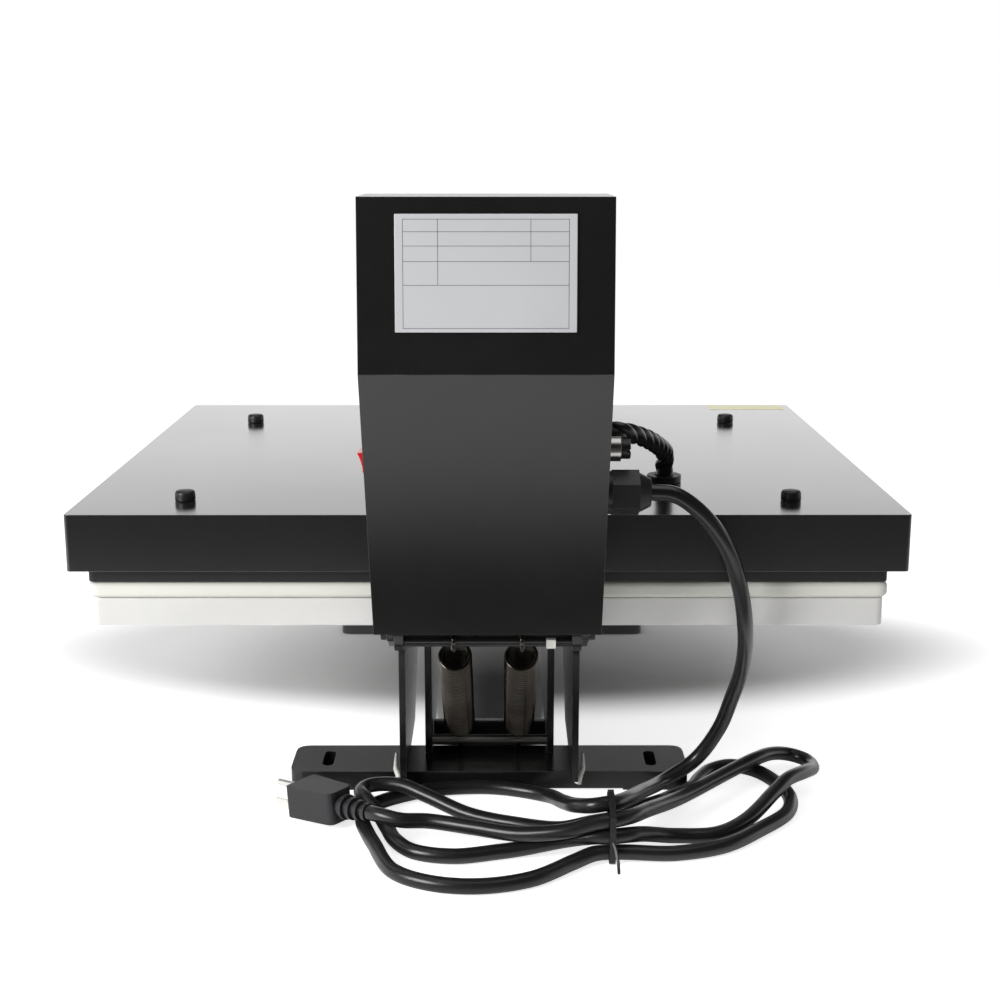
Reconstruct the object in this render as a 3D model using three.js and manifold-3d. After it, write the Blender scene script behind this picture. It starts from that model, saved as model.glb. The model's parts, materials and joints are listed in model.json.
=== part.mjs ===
// Clamshell heat press, closed. Millimetres, +Z up, front towards -Y, +X to the left of a viewer behind it.
// The origin is on the floor under the middle of the press.
import * as THREE from 'three';
import { mergeVertices } from 'three/addons/utils/BufferGeometryUtils.js';
import Module from 'manifold-3d';

const wasm = await Module();
wasm.setup();

// Fits and mesh fineness
const seatGap = 0.3;
const runningGap = 0.15;
const overrun = 4;
const roundSteps = 24;
const smallSteps = 16;
const cornerSteps = 4;
const weld = 1e-4;

// Driving dimensions of the two platens and the cover
const pressY = 14.5;
const heatPlaten = { width: 500, depth: 400, thickness: 9.4, corner: 4 };
const pad = { overhang: 1, thickness: 9.9, corner: 8 };
const lowerPlaten = { inset: 1.5, thickness: 18.3, bottomZ: 151.5, corner: 5 };
const insulation = { inset: 10, thickness: 7 };
const cover = { sideOverhang: 10, endOverhang: 11, height: 36, wall: 1.5, corner: 3, standOff: 0.3 };
const cap = {
  headRadius: 6.5, headHeight: 6.2, shankRadius: 3, sideInset: 57, rearInset: 30.5, frontInset: 77.5,
};

// Base frame
const foot = {
  width: 283.5, depth: 50, height: 14, corner: 10, archInset: 46.75, archHeight: 1.2, rearY: 94,
  frontY: -270,
};
const slot = { width: 8, length: 27, endInset: 25.75 };
const rail = { outerX: 46.8, thickness: 5, rearY: 85, frontY: -290, slopeY: -150, frontHeight: 46 };
const cheek = {
  outerX: 62.5, thickness: 4.5, rearY: 130, frontY: -115, floorFrontY: 16, tailZ: 10.7, bendZ: 130,
};
const neck = { rearZ: 111, midAhead: 23, midZ: 137.5, topY: 145, bossRadius: 14, studBossRadius: 8 };
const support = { width: 300, depth: 240, thickness: 6 };
const crossPlate = { y: 65, thickness: 6, height: 17 };

// Clamshell hinge, and the springs that lift the arm
const hinge = { behind: 20.5, z: 166, pinRadius: 6, bushWall: 3 };
const springRod = { y: 78, z: 22, radius: 4 };
const springBar = { drop: 17, radius: 4, lugRadius: 6.5 };
const spring = {
  x: 21, radius: 9.3, wire: 3.2, pitch: 3.75, startShare: 0.2, endShare: 0.87, hookTurns: 0.575,
};

// Upper arm
const arm = {
  outerX: 57.5, thickness: 5.8, frontY: -30, beamZ: 240, beamHeight: 40, neckAhead: 6, neckBehind: 19,
  bossRadius: 14,
};
const ear = { depth: 16, height: 38, spacerHeight: 20 };
const nutBlock = { depth: 40, bottomZ: 244, height: 36, pocketDepth: 12.5 };

// Pressure screw and foot
const pressFoot = { radius: 45, thickness: 6, stem: 30, stemTopZ: 243.5 };
const screw = { radius: 8, knobBottomZ: 292 };
const knob = { radius: 27, lobeRadius: 8, lobes: 6, height: 20, domeHeight: 6 };

// Handle and its two links
const handle = {
  pivotZ: 254, gripY: -311, gripZ: 300, rootHalf: 12, tipHalf: 8, bossRadius: 13, eyeRadius: 13,
};
const handlePin = { radius: 5 };
const grip = { rodRadius: 8, foamRadius: 16 };
const link = { clearance: 0.4, thickness: 3.5, halfWidth: 5.5, bossRadius: 7, studRadius: 4, openPlay: 0.7 };
const lowerStud = { fromHinge: 15, angle: 235 };
const upperStud = { fromPivot: 22, angle: 288 };

// Control box: its side profile from the rear bottom edge round over the top to the front
const box = { halfWidth: 68.5, wall: 1.2, bottomZ: 159.5, lowerHeight: 167, upperHeight: 93 };
const boxBack = { bottomBehind: 22.3, foldBehind: 92, topBehind: 83 };
const boxFront = {
  topBehind: 20, panelAhead: 45, panelZ: 325, noseAhead: 55, noseZ: 305, shelfZ: 241.5, lipAhead: 4,
};
const panel = { thickness: 2, apronHalf: 56, apronBottomZ: 284 };
const display = { width: 62, height: 24, upShare: 0.66, thickness: 2.4 };
const button = {
  radius: 6, proud: 2.2, inside: 3, flange: 1.5, flangeRadius: 7.4, spacing: 24, upShare: 0.3,
};
const board = { width: 104, height: 78, thickness: 1.6, standOff: 3, downShare: 0.62 };
const relay = { width: 45, height: 58, depth: 22, up: 42 };
const dataPlate = { width: 96.5, height: 62, thickness: 0.8, up: 22.5 };

// Fittings in the side walls of the box
const rocker = {
  behind: 25, z: 267, frameDepth: 28, frameHeight: 22, frameProud: 2, depth: 22, height: 17, wall: 1.6,
  inside: 5, rootHalf: 2.2, proud: 6.4,
};
const fuse = {
  behind: 5, z: 269.8, collarRadius: 7.5, collarLength: 10.5, capRadius: 6, capLength: 5.5,
  holeRadius: 6,
};
const gland = {
  behind: 10, z: 244.5, flangeRadius: 13, flange: 5, flats: 24, hexLength: 16.5, domeLength: 7,
  domeRadius: 8.5, holeRadius: 10,
};
const loom = { radius: 6.25, ahead: 25, z: 275, endX: -118, endY: 127 };
const bush = { radius: 9.5, proud: 3.4, holeRadius: 8 };
const grommet = { radius: 11.5, height: 4.5, neckRadius: 8 };

// Mains cord and plug
const cord = { radius: 5, stepShare: 1.8, sides: 6 };
const plug = {
  tail: [79, 197, 18], tip: [129, 156, 12.2], tipWidth: 27, tailWidth: 21, height: 22, corner: 5,
};
const relief = { length: 25, tailRadius: 6, rootRadius: 8.5, groove: 1.6 };
const blade = { length: 17.5, height: 6.3, thickness: 1.5, spacing: 12.7, drop: 5.5 };
const earthPin = { length: 20.5, radius: 2.4, rise: 6.2 };

// The cord's centre line as [x, y, z]: from the gland down to the tie, then round the hank to the plug
const dropRoute = [
  [-97.4, 245, 244.5], [-112, 245.5, 243], [-128, 247.5, 232], [-143, 246.5, 212], [-152.5, 241, 187],
  [-159.5, 228, 155], [-164.5, 193, 118], [-163.5, 160, 84], [-158, 141, 54], [-144, 133, 29],
  [-122, 142, 17.4], [-102, 178, 24.2], [-90, 205, 31], [-81.5, 216.7, 33.5], [-79, 218, 33.8],
];
const hankRoute = [
  [-76.5, 218.7, 33.8], [-67, 218, 32], [-57, 206, 27], [-50, 178, 17], [-40, 143, 6.5], [-8, 127, 5],
  [25, 126.5, 5],
  [48, 133, 5], [75, 151, 5], [85, 166, 5], [84.5, 183, 5], [80, 200, 5], [74, 218, 5], [59, 256, 5],
  [35, 272, 5], [5, 276, 5], [-27, 266.5, 5], [-54, 244, 5.4], [-68, 234, 6.4], [-79, 232, 6.5],
  [-90, 232, 6.3], [-119, 231, 5], [-152, 220, 5], [-180.5, 194.5, 5], [-203, 168, 5], [-209, 143, 5],
  [-204, 117, 5], [-192, 95, 5], [-176, 86.5, 5], [-161, 94, 5], [-151, 109, 5], [-143, 126, 5],
  [-122, 147, 5.2], [-102, 178, 12.8], [-90, 205, 19.8], [-79, 218, 22.6], [-66, 218, 20], [-47, 207, 11],
  [-18, 188, 5.5], [13, 174, 6], [42, 157, 12], [60, 148.5, 16], [74, 146, 16.2], [84, 149.5, 16],
  [87.5, 159, 16], [83, 170, 15.8], [74.5, 181, 11], [67, 195, 5.8], [61, 211, 5], [48, 228, 5],
  [22, 235, 5], [-18, 226, 5.5], [-50, 226, 12], [-68, 231, 16.6], [-79, 232, 17.2], [-89, 229.5, 17],
  [-100, 221.5, 14], [-122, 208, 6.5], [-150, 202.5, 5.2], [-172, 185, 7], [-197, 153, 14],
  [-208, 138, 16.4], [-225, 116, 13], [-234, 96, 8], [-231.5, 82, 8], [-221, 76, 9.5], [-207, 84, 13.5],
  [-191, 101, 16], [-173, 119, 15.5], [-128, 172, 17], [-103, 208, 24.5], [-91, 225, 27.8],
  [-79, 232, 28.2], [-68, 233.5, 27.2], [-50, 235, 22.5], [-20, 228, 17], [10, 216, 16], [40, 206, 16],
  [57, 208, 17.4], [71.3, 203.3, 18.9], [78.4, 197.5, 18.1],
];
// The loom's centre line between its bush and its grommet
const loomRoute = [[-97, 191, 268], [-110, 162, 257], [-117, 137, 247]];
// The tie's inner outline round the five strands, as [y, z]
const tieOutline = [
  [226, 6.8], [208.6, 17.5], [208.6, 36], [213.5, 40.2], [222.5, 40.2], [238.6, 32.5], [238.6, 3.2],
  [236, 0.9], [228.6, 0.9],
];
const tie = { x: -79, width: 4, thickness: 0.8, tailRadius: 1.1 };
const tieTail = [[-79, 238.4, 16], [-80.5, 242, 13], [-82, 246, 6], [-82, 253, 1.6]];

// Levels worked out from the driving dimensions
const footTopZ = foot.height;
const supportTopZ = lowerPlaten.bottomZ - seatGap;
const supportBottomZ = supportTopZ - support.thickness;
const railTopZ = supportBottomZ - seatGap;
const railBottomZ = footTopZ + seatGap;
const padBottomZ = lowerPlaten.bottomZ + lowerPlaten.thickness + seatGap;
const heatBottomZ = padBottomZ + pad.thickness + seatGap;
const heatTopZ = heatBottomZ + heatPlaten.thickness;
const insulationBottomZ = heatTopZ + seatGap;
const coverBottomZ = heatTopZ + cover.standOff;
const coverTopZ = coverBottomZ + cover.height;
const hingeY = pressY + heatPlaten.depth / 2 + hinge.behind;
const armFrontY = hingeY - arm.neckAhead;
const armRearY = hingeY + arm.neckBehind;
const boxBottomY = hingeY + boxBack.bottomBehind;
const boxFoldY = hingeY + boxBack.foldBehind;
const boxTopY = hingeY + boxBack.topBehind;
const boxFoldZ = box.bottomZ + box.lowerHeight;
const boxTopZ = boxFoldZ + box.upperHeight;
const frontTopY = hingeY + boxFront.topBehind;
const panelY = hingeY - boxFront.panelAhead;
const noseY = hingeY - boxFront.noseAhead;
const lipY = hingeY - boxFront.lipAhead;
const rockerY = hingeY + rocker.behind;
const fuseY = hingeY + fuse.behind;
const glandY = hingeY + gland.behind;
const loomY = hingeY - loom.ahead;
const springBarY = hingeY;
const springBarZ = hinge.z - springBar.drop;
const handleY = hingeY;

// Plates that follow the heat platen's outline, each wider by a reach on every side
const grown = (plate, sideReach, endReach) => ({
  ...plate,
  width: heatPlaten.width + 2 * sideReach,
  depth: heatPlaten.depth + 2 * endReach,
});
const padSizes = grown(pad, pad.overhang, pad.overhang);
const lowerSizes = grown(lowerPlaten, -lowerPlaten.inset, -lowerPlaten.inset);
const insulationSizes = grown(insulation, -insulation.inset, -insulation.inset);
const coverSizes = { ...grown(cover, cover.sideOverhang, cover.endOverhang), thickness: cover.height };
const capX = heatPlaten.width / 2 - cap.sideInset;
const capRearY = pressY + heatPlaten.depth / 2 - cap.rearInset;
const capFrontY = pressY - heatPlaten.depth / 2 + cap.frontInset;

const finish = {
  powderBlack: new THREE.MeshStandardMaterial({ color: 0x1a1a1b, roughness: 0.45, metalness: 0.3 }),
  castAluminium: new THREE.MeshStandardMaterial({ color: 0xc9c9c6, roughness: 0.45, metalness: 0.8 }),
  blackPlaten: new THREE.MeshStandardMaterial({ color: 0x161616, roughness: 0.5, metalness: 0.4 }),
  silicone: new THREE.MeshStandardMaterial({ color: 0xdedfd2, roughness: 0.75, metalness: 0 }),
  steel: new THREE.MeshStandardMaterial({ color: 0x9a9a9a, roughness: 0.35, metalness: 0.9 }),
  springSteel: new THREE.MeshStandardMaterial({ color: 0x2a2320, roughness: 0.3, metalness: 0.8 }),
  blackPlastic: new THREE.MeshStandardMaterial({ color: 0x131313, roughness: 0.5, metalness: 0 }),
  redPlastic: new THREE.MeshStandardMaterial({ color: 0xd01f1f, roughness: 0.35, metalness: 0 }),
  labelSilver: new THREE.MeshStandardMaterial({ color: 0xd8dadd, roughness: 0.4, metalness: 0.3 }),
  glassFibre: new THREE.MeshStandardMaterial({ color: 0xd9d3bf, roughness: 0.9, metalness: 0 }),
  boardGreen: new THREE.MeshStandardMaterial({ color: 0x1f5a35, roughness: 0.5, metalness: 0.1 }),
  foam: new THREE.MeshStandardMaterial({ color: 0x1c1c1d, roughness: 0.95, metalness: 0 }),
  smokedGlass: new THREE.MeshStandardMaterial({ color: 0x2b0f10, roughness: 0.1, metalness: 0 }),
  cordBlack: new THREE.MeshStandardMaterial({ color: 0x0f0f10, roughness: 0.4, metalness: 0 }),
};

/** Turns a closed three.js geometry into a solid for cutting and joining. */
function solid(geometry) {
  const bare = geometry.clone();
  for (const name of Object.keys(bare.attributes)) {
    if (name !== 'position') bare.deleteAttribute(name);
  }
  const merged = mergeVertices(bare, weld);
  return new wasm.Manifold(new wasm.Mesh({
    numProp: 3,
    vertProperties: Float32Array.from(merged.attributes.position.array),
    triVerts: Uint32Array.from(merged.index.array),
  }));
}

/** Turns a solid back into a geometry. */
function geometryOf(body) {
  const mesh = body.getMesh();
  const geometry = new THREE.BufferGeometry();
  geometry.setAttribute('position', new THREE.BufferAttribute(Float32Array.from(mesh.vertProperties), 3));
  geometry.setIndex(new THREE.BufferAttribute(Uint32Array.from(mesh.triVerts), 1));
  geometry.computeVertexNormals();
  return geometry;
}

/** Joins closed geometries into one body. */
function join(first, ...others) {
  return geometryOf(others.reduce((body, other) => body.add(solid(other)), solid(first)));
}

/** Cuts closed geometries out of the first one. */
function cut(first, ...tools) {
  return geometryOf(tools.reduce((body, tool) => body.subtract(solid(tool)), solid(first)));
}

/** A box between two corners. */
function block(low, high) {
  const geometry = new THREE.BoxGeometry(high[0] - low[0], high[1] - low[1], high[2] - low[2]);
  return geometry.translate((low[0] + high[0]) / 2, (low[1] + high[1]) / 2, (low[2] + high[2]) / 2);
}

/** A round bar along x. */
function barX(fromX, toX, y, z, radius, steps = roundSteps) {
  const geometry = new THREE.CylinderGeometry(radius, radius, toX - fromX, steps);
  return geometry.rotateZ(-Math.PI / 2).translate((fromX + toX) / 2, y, z);
}

/** A round bar along z. */
function barZ(x, y, fromZ, toZ, radius, steps = roundSteps) {
  const geometry = new THREE.CylinderGeometry(radius, radius, toZ - fromZ, steps);
  return geometry.rotateX(Math.PI / 2).translate(x, y, (fromZ + toZ) / 2);
}

/** A closed outline whose points are [a, b] or [a, b, corner radius]. */
function outline(points) {
  const shape = new THREE.Shape();
  points.forEach(([a, b, radius = 0], index) => {
    const corner = new THREE.Vector2(a, b);
    const before = new THREE.Vector2(...points[(index + points.length - 1) % points.length]);
    const after = new THREE.Vector2(...points[(index + 1) % points.length]);
    const towardsBefore = before.sub(corner);
    const towardsAfter = after.sub(corner);
    const half = Math.abs(towardsBefore.angleTo(towardsAfter)) / 2;
    const reach = radius ? radius / Math.tan(half) : 0;
    const start = towardsBefore.setLength(reach).add(corner);
    const end = towardsAfter.setLength(reach).add(corner);
    if (index === 0) shape.moveTo(start.x, start.y);
    else shape.lineTo(start.x, start.y);
    if (radius) shape.quadraticCurveTo(corner.x, corner.y, end.x, end.y);
  });
  shape.closePath();
  return shape;
}

/** A plate whose outline is drawn in the side view (y, z), from x = fromX outwards by its thickness. */
function sidePlate(shape, fromX, thickness) {
  const geometry = new THREE.ExtrudeGeometry(
    shape,
    { depth: thickness, bevelEnabled: false, curveSegments: cornerSteps },
  );
  const sideView = new THREE.Matrix4().set(0, 0, 1, fromX, 1, 0, 0, 0, 0, 1, 0, 0, 0, 0, 0, 1);
  return geometry.applyMatrix4(sideView);
}

/** A plate whose outline is drawn in plan (x, y), from z = fromZ upwards. */
function flatPlate(shape, fromZ, thickness) {
  const geometry = new THREE.ExtrudeGeometry(
    shape,
    { depth: thickness, bevelEnabled: false, curveSegments: cornerSteps },
  );
  return geometry.translate(0, 0, fromZ);
}

/** A rounded rectangle in plan, centred on (x, y). */
function rectangle(width, depth, corner, x, y) {
  const [w, d] = [width / 2, depth / 2];
  return outline(
    [[x - w, y - d, corner], [x + w, y - d, corner], [x + w, y + d, corner], [x - w, y + d, corner]],
  );
}

/** Mirrors a geometry to the other side of the press. */
function mirrored(geometry) {
  return geometryOf(solid(geometry).mirror([1, 0, 0]));
}

/** A closed tube through the points, with its section carried along without twist. */
function tube(points, radius, sides) {
  const positions = [];
  const triangles = [];
  const tangents = points.map((point, index) => {
    const ahead = points[Math.min(index + 1, points.length - 1)];
    const behind = points[Math.max(index - 1, 0)];
    return ahead.clone().sub(behind).normalize();
  });
  const upright = new THREE.Vector3(0, 0, 1);
  const across = new THREE.Vector3(1, 0, 0);
  let side = new THREE.Vector3().crossVectors(
    tangents[0],
    Math.abs(tangents[0].z) > Math.SQRT1_2 ? across : upright,
  );
  points.forEach((point, index) => {
    side = side.addScaledVector(tangents[index], -side.dot(tangents[index])).normalize();
    const other = new THREE.Vector3().crossVectors(tangents[index], side);
    for (let step = 0; step < sides; step += 1) {
      const angle = (2 * Math.PI * step) / sides;
      const rim = point.clone().addScaledVector(side, radius * Math.cos(angle));
      rim.addScaledVector(other, radius * Math.sin(angle));
      positions.push(rim.x, rim.y, rim.z);
    }
  });
  for (let ring = 0; ring + 1 < points.length; ring += 1) {
    for (let step = 0; step < sides; step += 1) {
      const a = ring * sides + step;
      const b = ring * sides + ((step + 1) % sides);
      triangles.push(a, b, b + sides, a, b + sides, a + sides);
    }
  }
  const last = (points.length - 1) * sides;
  for (let step = 1; step + 1 < sides; step += 1) {
    triangles.push(0, step + 1, step);
    triangles.push(last, last + step, last + step + 1);
  }
  const geometry = new THREE.BufferGeometry();
  geometry.setAttribute('position', new THREE.Float32BufferAttribute(positions, 3));
  geometry.setIndex(triangles);
  geometry.computeVertexNormals();
  return geometry;
}

/** The least gap between a tube's surface and itself, leaving out neighbours along the tube. */
function leastGap(points, radius) {
  const along = [0];
  for (let i = 1; i < points.length; i += 1) {
    along.push(along[i - 1] + points[i].distanceTo(points[i - 1]));
  }
  const skip = Math.PI * 2 * radius;
  let least = Infinity;
  for (let i = 0; i < points.length; i += 1) {
    for (let j = i + 1; j < points.length; j += 1) {
      if (along[j] - along[i] > skip) least = Math.min(least, points[i].distanceTo(points[j]));
    }
  }
  return least - 2 * radius;
}

/** Adds a named piece to a group. */
function add(group, name, geometry, material) {
  const mesh = new THREE.Mesh(geometry, material);
  mesh.name = name;
  group.add(mesh);
  return mesh;
}

/** A point at a distance and angle from another, in the side view. */
function polar(y, z, distance, degrees) {
  const angle = THREE.MathUtils.degToRad(degrees);
  return [y + distance * Math.cos(angle), z + distance * Math.sin(angle)];
}

const [lowerStudY, lowerStudZ] = polar(hingeY, hinge.z, lowerStud.fromHinge, lowerStud.angle);
const [upperStudY, upperStudZ] = polar(handleY, handle.pivotZ, upperStud.fromPivot, upperStud.angle);
const studOuterX = cheek.outerX + link.clearance + link.thickness;

/** A foot bar with rounded ends, two bolt slots and a shallow arch underneath. */
function footBar(y) {
  const shape = rectangle(foot.width, foot.depth, foot.corner, 0, y);
  const slotX = foot.width / 2 - slot.endInset;
  for (const x of [-slotX, slotX]) {
    const straight = (slot.length - slot.width) / 2;
    const hole = new THREE.Path();
    hole.absarc(x, y + straight, slot.width / 2, 0, Math.PI, false);
    hole.absarc(x, y - straight, slot.width / 2, Math.PI, 2 * Math.PI, false);
    hole.closePath();
    shape.holes.push(hole);
  }
  const bar = flatPlate(shape, 0, foot.height);
  const arch = block(
    [foot.archInset - foot.width / 2, y - foot.depth, -overrun],
    [foot.width / 2 - foot.archInset, y + foot.depth, foot.archHeight],
  );
  return cut(bar, arch);
}

/** A rail that stands on both feet under the support plate, for the +X side. */
function railPlate() {
  const shape = outline([
    [rail.rearY, railBottomZ],
    [rail.rearY, railTopZ],
    [rail.slopeY, railTopZ, foot.corner],
    [rail.frontY, railBottomZ + rail.frontHeight, foot.corner],
    [rail.frontY, railBottomZ],
  ]);
  const plate = sidePlate(shape, rail.outerX - rail.thickness, rail.thickness);
  const rodHole = barX(0, rail.outerX + overrun, springRod.y, springRod.z, springRod.radius + runningGap);
  return cut(plate, rodHole);
}

/** A cheek that stands over the rear foot, carries the lower platen and reaches back to the hinge, +X side. */
function cheekPlate() {
  const innerX = cheek.outerX - cheek.thickness;
  const footRearY = foot.rearY + foot.depth / 2 + seatGap;
  const shape = outline([
    [cheek.rearY, cheek.tailZ],
    [cheek.rearY, neck.rearZ, foot.corner],
    [hingeY - neck.midAhead, neck.midZ],
    [hingeY, hinge.z - neck.bossRadius],
    [hingeY, hinge.z],
    [lowerSizes.depth / 2 + pressY + pad.corner, supportTopZ],
    [neck.topY, supportTopZ],
    [neck.topY, railTopZ],
    [cheek.frontY, railTopZ],
    [cheek.frontY, cheek.bendZ, foot.corner],
    [cheek.floorFrontY, railBottomZ],
    [footRearY, railBottomZ],
    [footRearY, cheek.tailZ],
  ]);
  const plate = sidePlate(shape, innerX, cheek.thickness);
  const boss = barX(innerX, cheek.outerX, hingeY, hinge.z, neck.bossRadius);
  const studBoss = barX(innerX, cheek.outerX, lowerStudY, lowerStudZ, neck.studBossRadius);
  const stud = barX(innerX, studOuterX, lowerStudY, lowerStudZ, link.studRadius, smallSteps);
  const hole = barX(0, cheek.outerX + overrun, hingeY, hinge.z, hinge.pinRadius + runningGap);
  return cut(join(plate, boss, studBoss, stud), hole);
}

/** A rounded plate over the middle of the press, from z = fromZ upwards. */
function pressPlate(sizes, fromZ) {
  return flatPlate(rectangle(sizes.width, sizes.depth, sizes.corner ?? 0, 0, pressY), fromZ, sizes.thickness);
}

/** The frame that stands on the floor, with the lower platen. */
function buildBase() {
  const base = new THREE.Group();
  const railInner = rail.outerX - rail.thickness;
  add(base, 'rear_foot', footBar(foot.rearY), finish.powderBlack);
  add(base, 'front_foot', footBar(foot.frontY), finish.powderBlack);
  add(base, 'rail_left', railPlate(), finish.powderBlack);
  add(base, 'rail_right', mirrored(railPlate()), finish.powderBlack);
  add(base, 'cheek_left', cheekPlate(), finish.powderBlack);
  add(base, 'cheek_right', mirrored(cheekPlate()), finish.powderBlack);
  const crossLow = [-railInner + seatGap, crossPlate.y - crossPlate.thickness, railBottomZ];
  const crossHigh = [railInner - seatGap, crossPlate.y, railBottomZ + crossPlate.height];
  add(base, 'frame_cross_plate', block(crossLow, crossHigh), finish.powderBlack);
  const rod = barX(-rail.outerX, rail.outerX, springRod.y, springRod.z, springRod.radius, smallSteps);
  add(base, 'spring_rod', rod, finish.steel);
  const pin = barX(-cheek.outerX, cheek.outerX, hingeY, hinge.z, hinge.pinRadius);
  add(base, 'hinge_pin', pin, finish.steel);
  add(base, 'platen_support', pressPlate(support, supportBottomZ), finish.powderBlack);
  add(base, 'lower_platen', pressPlate(lowerSizes, lowerPlaten.bottomZ), finish.castAluminium);
  add(base, 'silicone_pad', pressPlate(padSizes, padBottomZ), finish.silicone);
  return base;
}

/** The centre line of one extension spring, hook to hook, worked out in its own plane. */
function springLine(x) {
  const low = new THREE.Vector3(x, springRod.y, springRod.z);
  const high = new THREE.Vector3(x, springBarY, springBarZ);
  const up = high.clone().sub(low);
  const length = up.length();
  up.normalize();
  const side = new THREE.Vector3(1, 0, 0);
  const out = new THREE.Vector3().crossVectors(side, up);
  const place = (across, away, along) => low.clone()
    .addScaledVector(side, across).addScaledVector(out, away).addScaledVector(up, along);
  const coilStart = length * spring.startShare;
  const coilEnd = length * spring.endShare;
  const turns = Math.round((coilEnd - coilStart) / spring.pitch);
  const hookSteps = 6;
  const hookSweep = 2 * Math.PI * spring.hookTurns;
  const line = [];
  const lowHook = springRod.radius + seatGap + spring.wire / 2;
  for (let step = 0; step <= hookSteps; step += 1) {
    const angle = -hookSweep * (1 - step / hookSteps);
    line.push(place(0, lowHook * Math.cos(angle), lowHook * Math.sin(angle)));
  }
  const coilRadius = spring.radius;
  line.push(place(0, (lowHook + coilRadius) / 2, coilStart / 2));
  line.push(place(0, coilRadius, coilStart - spring.wire));
  const stepsPerTurn = 7;
  for (let step = 0; step <= turns * stepsPerTurn; step += 1) {
    const angle = (2 * Math.PI * step) / stepsPerTurn + Math.PI / stepsPerTurn;
    const along = coilStart + (spring.pitch * step) / stepsPerTurn;
    line.push(place(coilRadius * Math.sin(angle), coilRadius * Math.cos(angle), along));
  }
  const topOfCoil = coilStart + spring.pitch * turns;
  const highHook = springBar.radius + seatGap + spring.wire / 2;
  line.push(place(0, coilRadius, topOfCoil + 1.5 * spring.wire));
  line.push(place(0, (highHook + coilRadius) / 2, (topOfCoil + length) / 2));
  for (let step = 0; step <= hookSteps; step += 1) {
    const angle = (hookSweep * step) / hookSteps;
    line.push(place(0, highHook * Math.cos(angle), length + highHook * Math.sin(angle)));
  }
  return line;
}

/** The two springs between the low rod and the bar under the hinge. */
function buildSprings() {
  const springs = new THREE.Group();
  const line = springLine(spring.x);
  console.log('least gap in a spring, mm:', leastGap(line, spring.wire / 2).toFixed(2));
  add(springs, 'spring_left', tube(line, spring.wire / 2, 5), finish.springSteel);
  add(springs, 'spring_right', tube(springLine(-spring.x), spring.wire / 2, 5), finish.springSteel);
  return springs;
}

/** An arm plate from the hinge up behind the cover and forward over it, +X side. */
function armPlate() {
  const innerX = arm.outerX - arm.thickness;
  const beamTop = arm.beamZ + arm.beamHeight;
  const shape = outline([
    [arm.frontY, arm.beamZ, foot.corner],
    [armFrontY, arm.beamZ],
    [armFrontY, hinge.z],
    [armRearY, hinge.z],
    [armRearY, beamTop + ear.height],
    [armRearY - ear.depth, beamTop + ear.height],
    [armRearY - ear.depth, beamTop],
    [arm.frontY, beamTop, foot.corner],
  ]);
  const plate = sidePlate(shape, innerX, arm.thickness);
  const boss = barX(innerX, arm.outerX, hingeY, hinge.z, arm.bossRadius);
  const lug = barX(innerX, arm.outerX, springBarY, springBarZ, springBar.lugRadius, smallSteps);
  const lugNeck = block(
    [innerX, springBarY - springBar.lugRadius, springBarZ],
    [arm.outerX, springBarY + springBar.lugRadius, hinge.z],
  );
  const spacer = block(
    [innerX, armRearY - ear.depth, beamTop + ear.height - ear.spacerHeight],
    [box.halfWidth - box.wall - seatGap, armRearY, beamTop + ear.height],
  );
  const reach = arm.outerX + overrun;
  const bushHole = barX(
    0,
    reach,
    hingeY,
    hinge.z,
    hinge.pinRadius + runningGap + hinge.bushWall + runningGap,
  );
  const barHole = barX(0, reach, springBarY, springBarZ, springBar.radius + runningGap, smallSteps);
  const handleHole = barX(0, reach, handleY, handle.pivotZ, handlePin.radius + runningGap);
  return cut(join(plate, boss, lug, lugNeck, spacer), bushHole, barHole, handleHole);
}

/** A bush that lines the arm's hinge hole, +X side. */
function hingeBush() {
  const innerX = arm.outerX - arm.thickness;
  const outer = hinge.pinRadius + runningGap + hinge.bushWall;
  const sleeve = barX(innerX, arm.outerX, hingeY, hinge.z, outer);
  const bore = barX(innerX - overrun, arm.outerX + overrun, hingeY, hinge.z, hinge.pinRadius + runningGap);
  return cut(sleeve, bore);
}

/** The threaded block between the arms, with a square pocket that guides the press foot's stem. */
function nutBlockBody() {
  const halfX = arm.outerX - arm.thickness - seatGap;
  const body = block(
    [-halfX, pressY - nutBlock.depth / 2, nutBlock.bottomZ],
    [halfX, pressY + nutBlock.depth / 2, nutBlock.bottomZ + nutBlock.height],
  );
  const half = pressFoot.stem / 2 + seatGap;
  const pocketTop = pressFoot.stemTopZ + nutBlock.pocketDepth;
  const pocket = block([-half, pressY - half, nutBlock.bottomZ - overrun], [half, pressY + half, pocketTop]);
  const bore = barZ(
    0,
    pressY,
    nutBlock.bottomZ,
    nutBlock.bottomZ + nutBlock.height + overrun,
    screw.radius + seatGap,
  );
  return cut(body, pocket, bore);
}

/** The arm's own pieces, without the control box. */
function buildArm() {
  const group = new THREE.Group();
  add(group, 'arm_left', armPlate(), finish.powderBlack);
  add(group, 'arm_right', mirrored(armPlate()), finish.powderBlack);
  add(group, 'hinge_bush_left', hingeBush(), finish.steel);
  add(group, 'hinge_bush_right', mirrored(hingeBush()), finish.steel);
  const bar = barX(-arm.outerX, arm.outerX, springBarY, springBarZ, springBar.radius, smallSteps);
  add(group, 'spring_bar', bar, finish.steel);
  add(group, 'nut_block', nutBlockBody(), finish.powderBlack);
  const pin = barX(-cheek.outerX, cheek.outerX, handleY, handle.pivotZ, handlePin.radius);
  add(group, 'handle_pin', pin, finish.steel);
  return group;
}

/** The direction of a line in the side view, with its length. */
function run(fromY, fromZ, toY, toZ) {
  const length = Math.hypot(toY - fromY, toZ - fromZ);
  return {
    length, y: (toY - fromY) / length, z: (toZ - fromZ) / length,
    angle: Math.atan2(toZ - fromZ, toY - fromY),
  };
}

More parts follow.
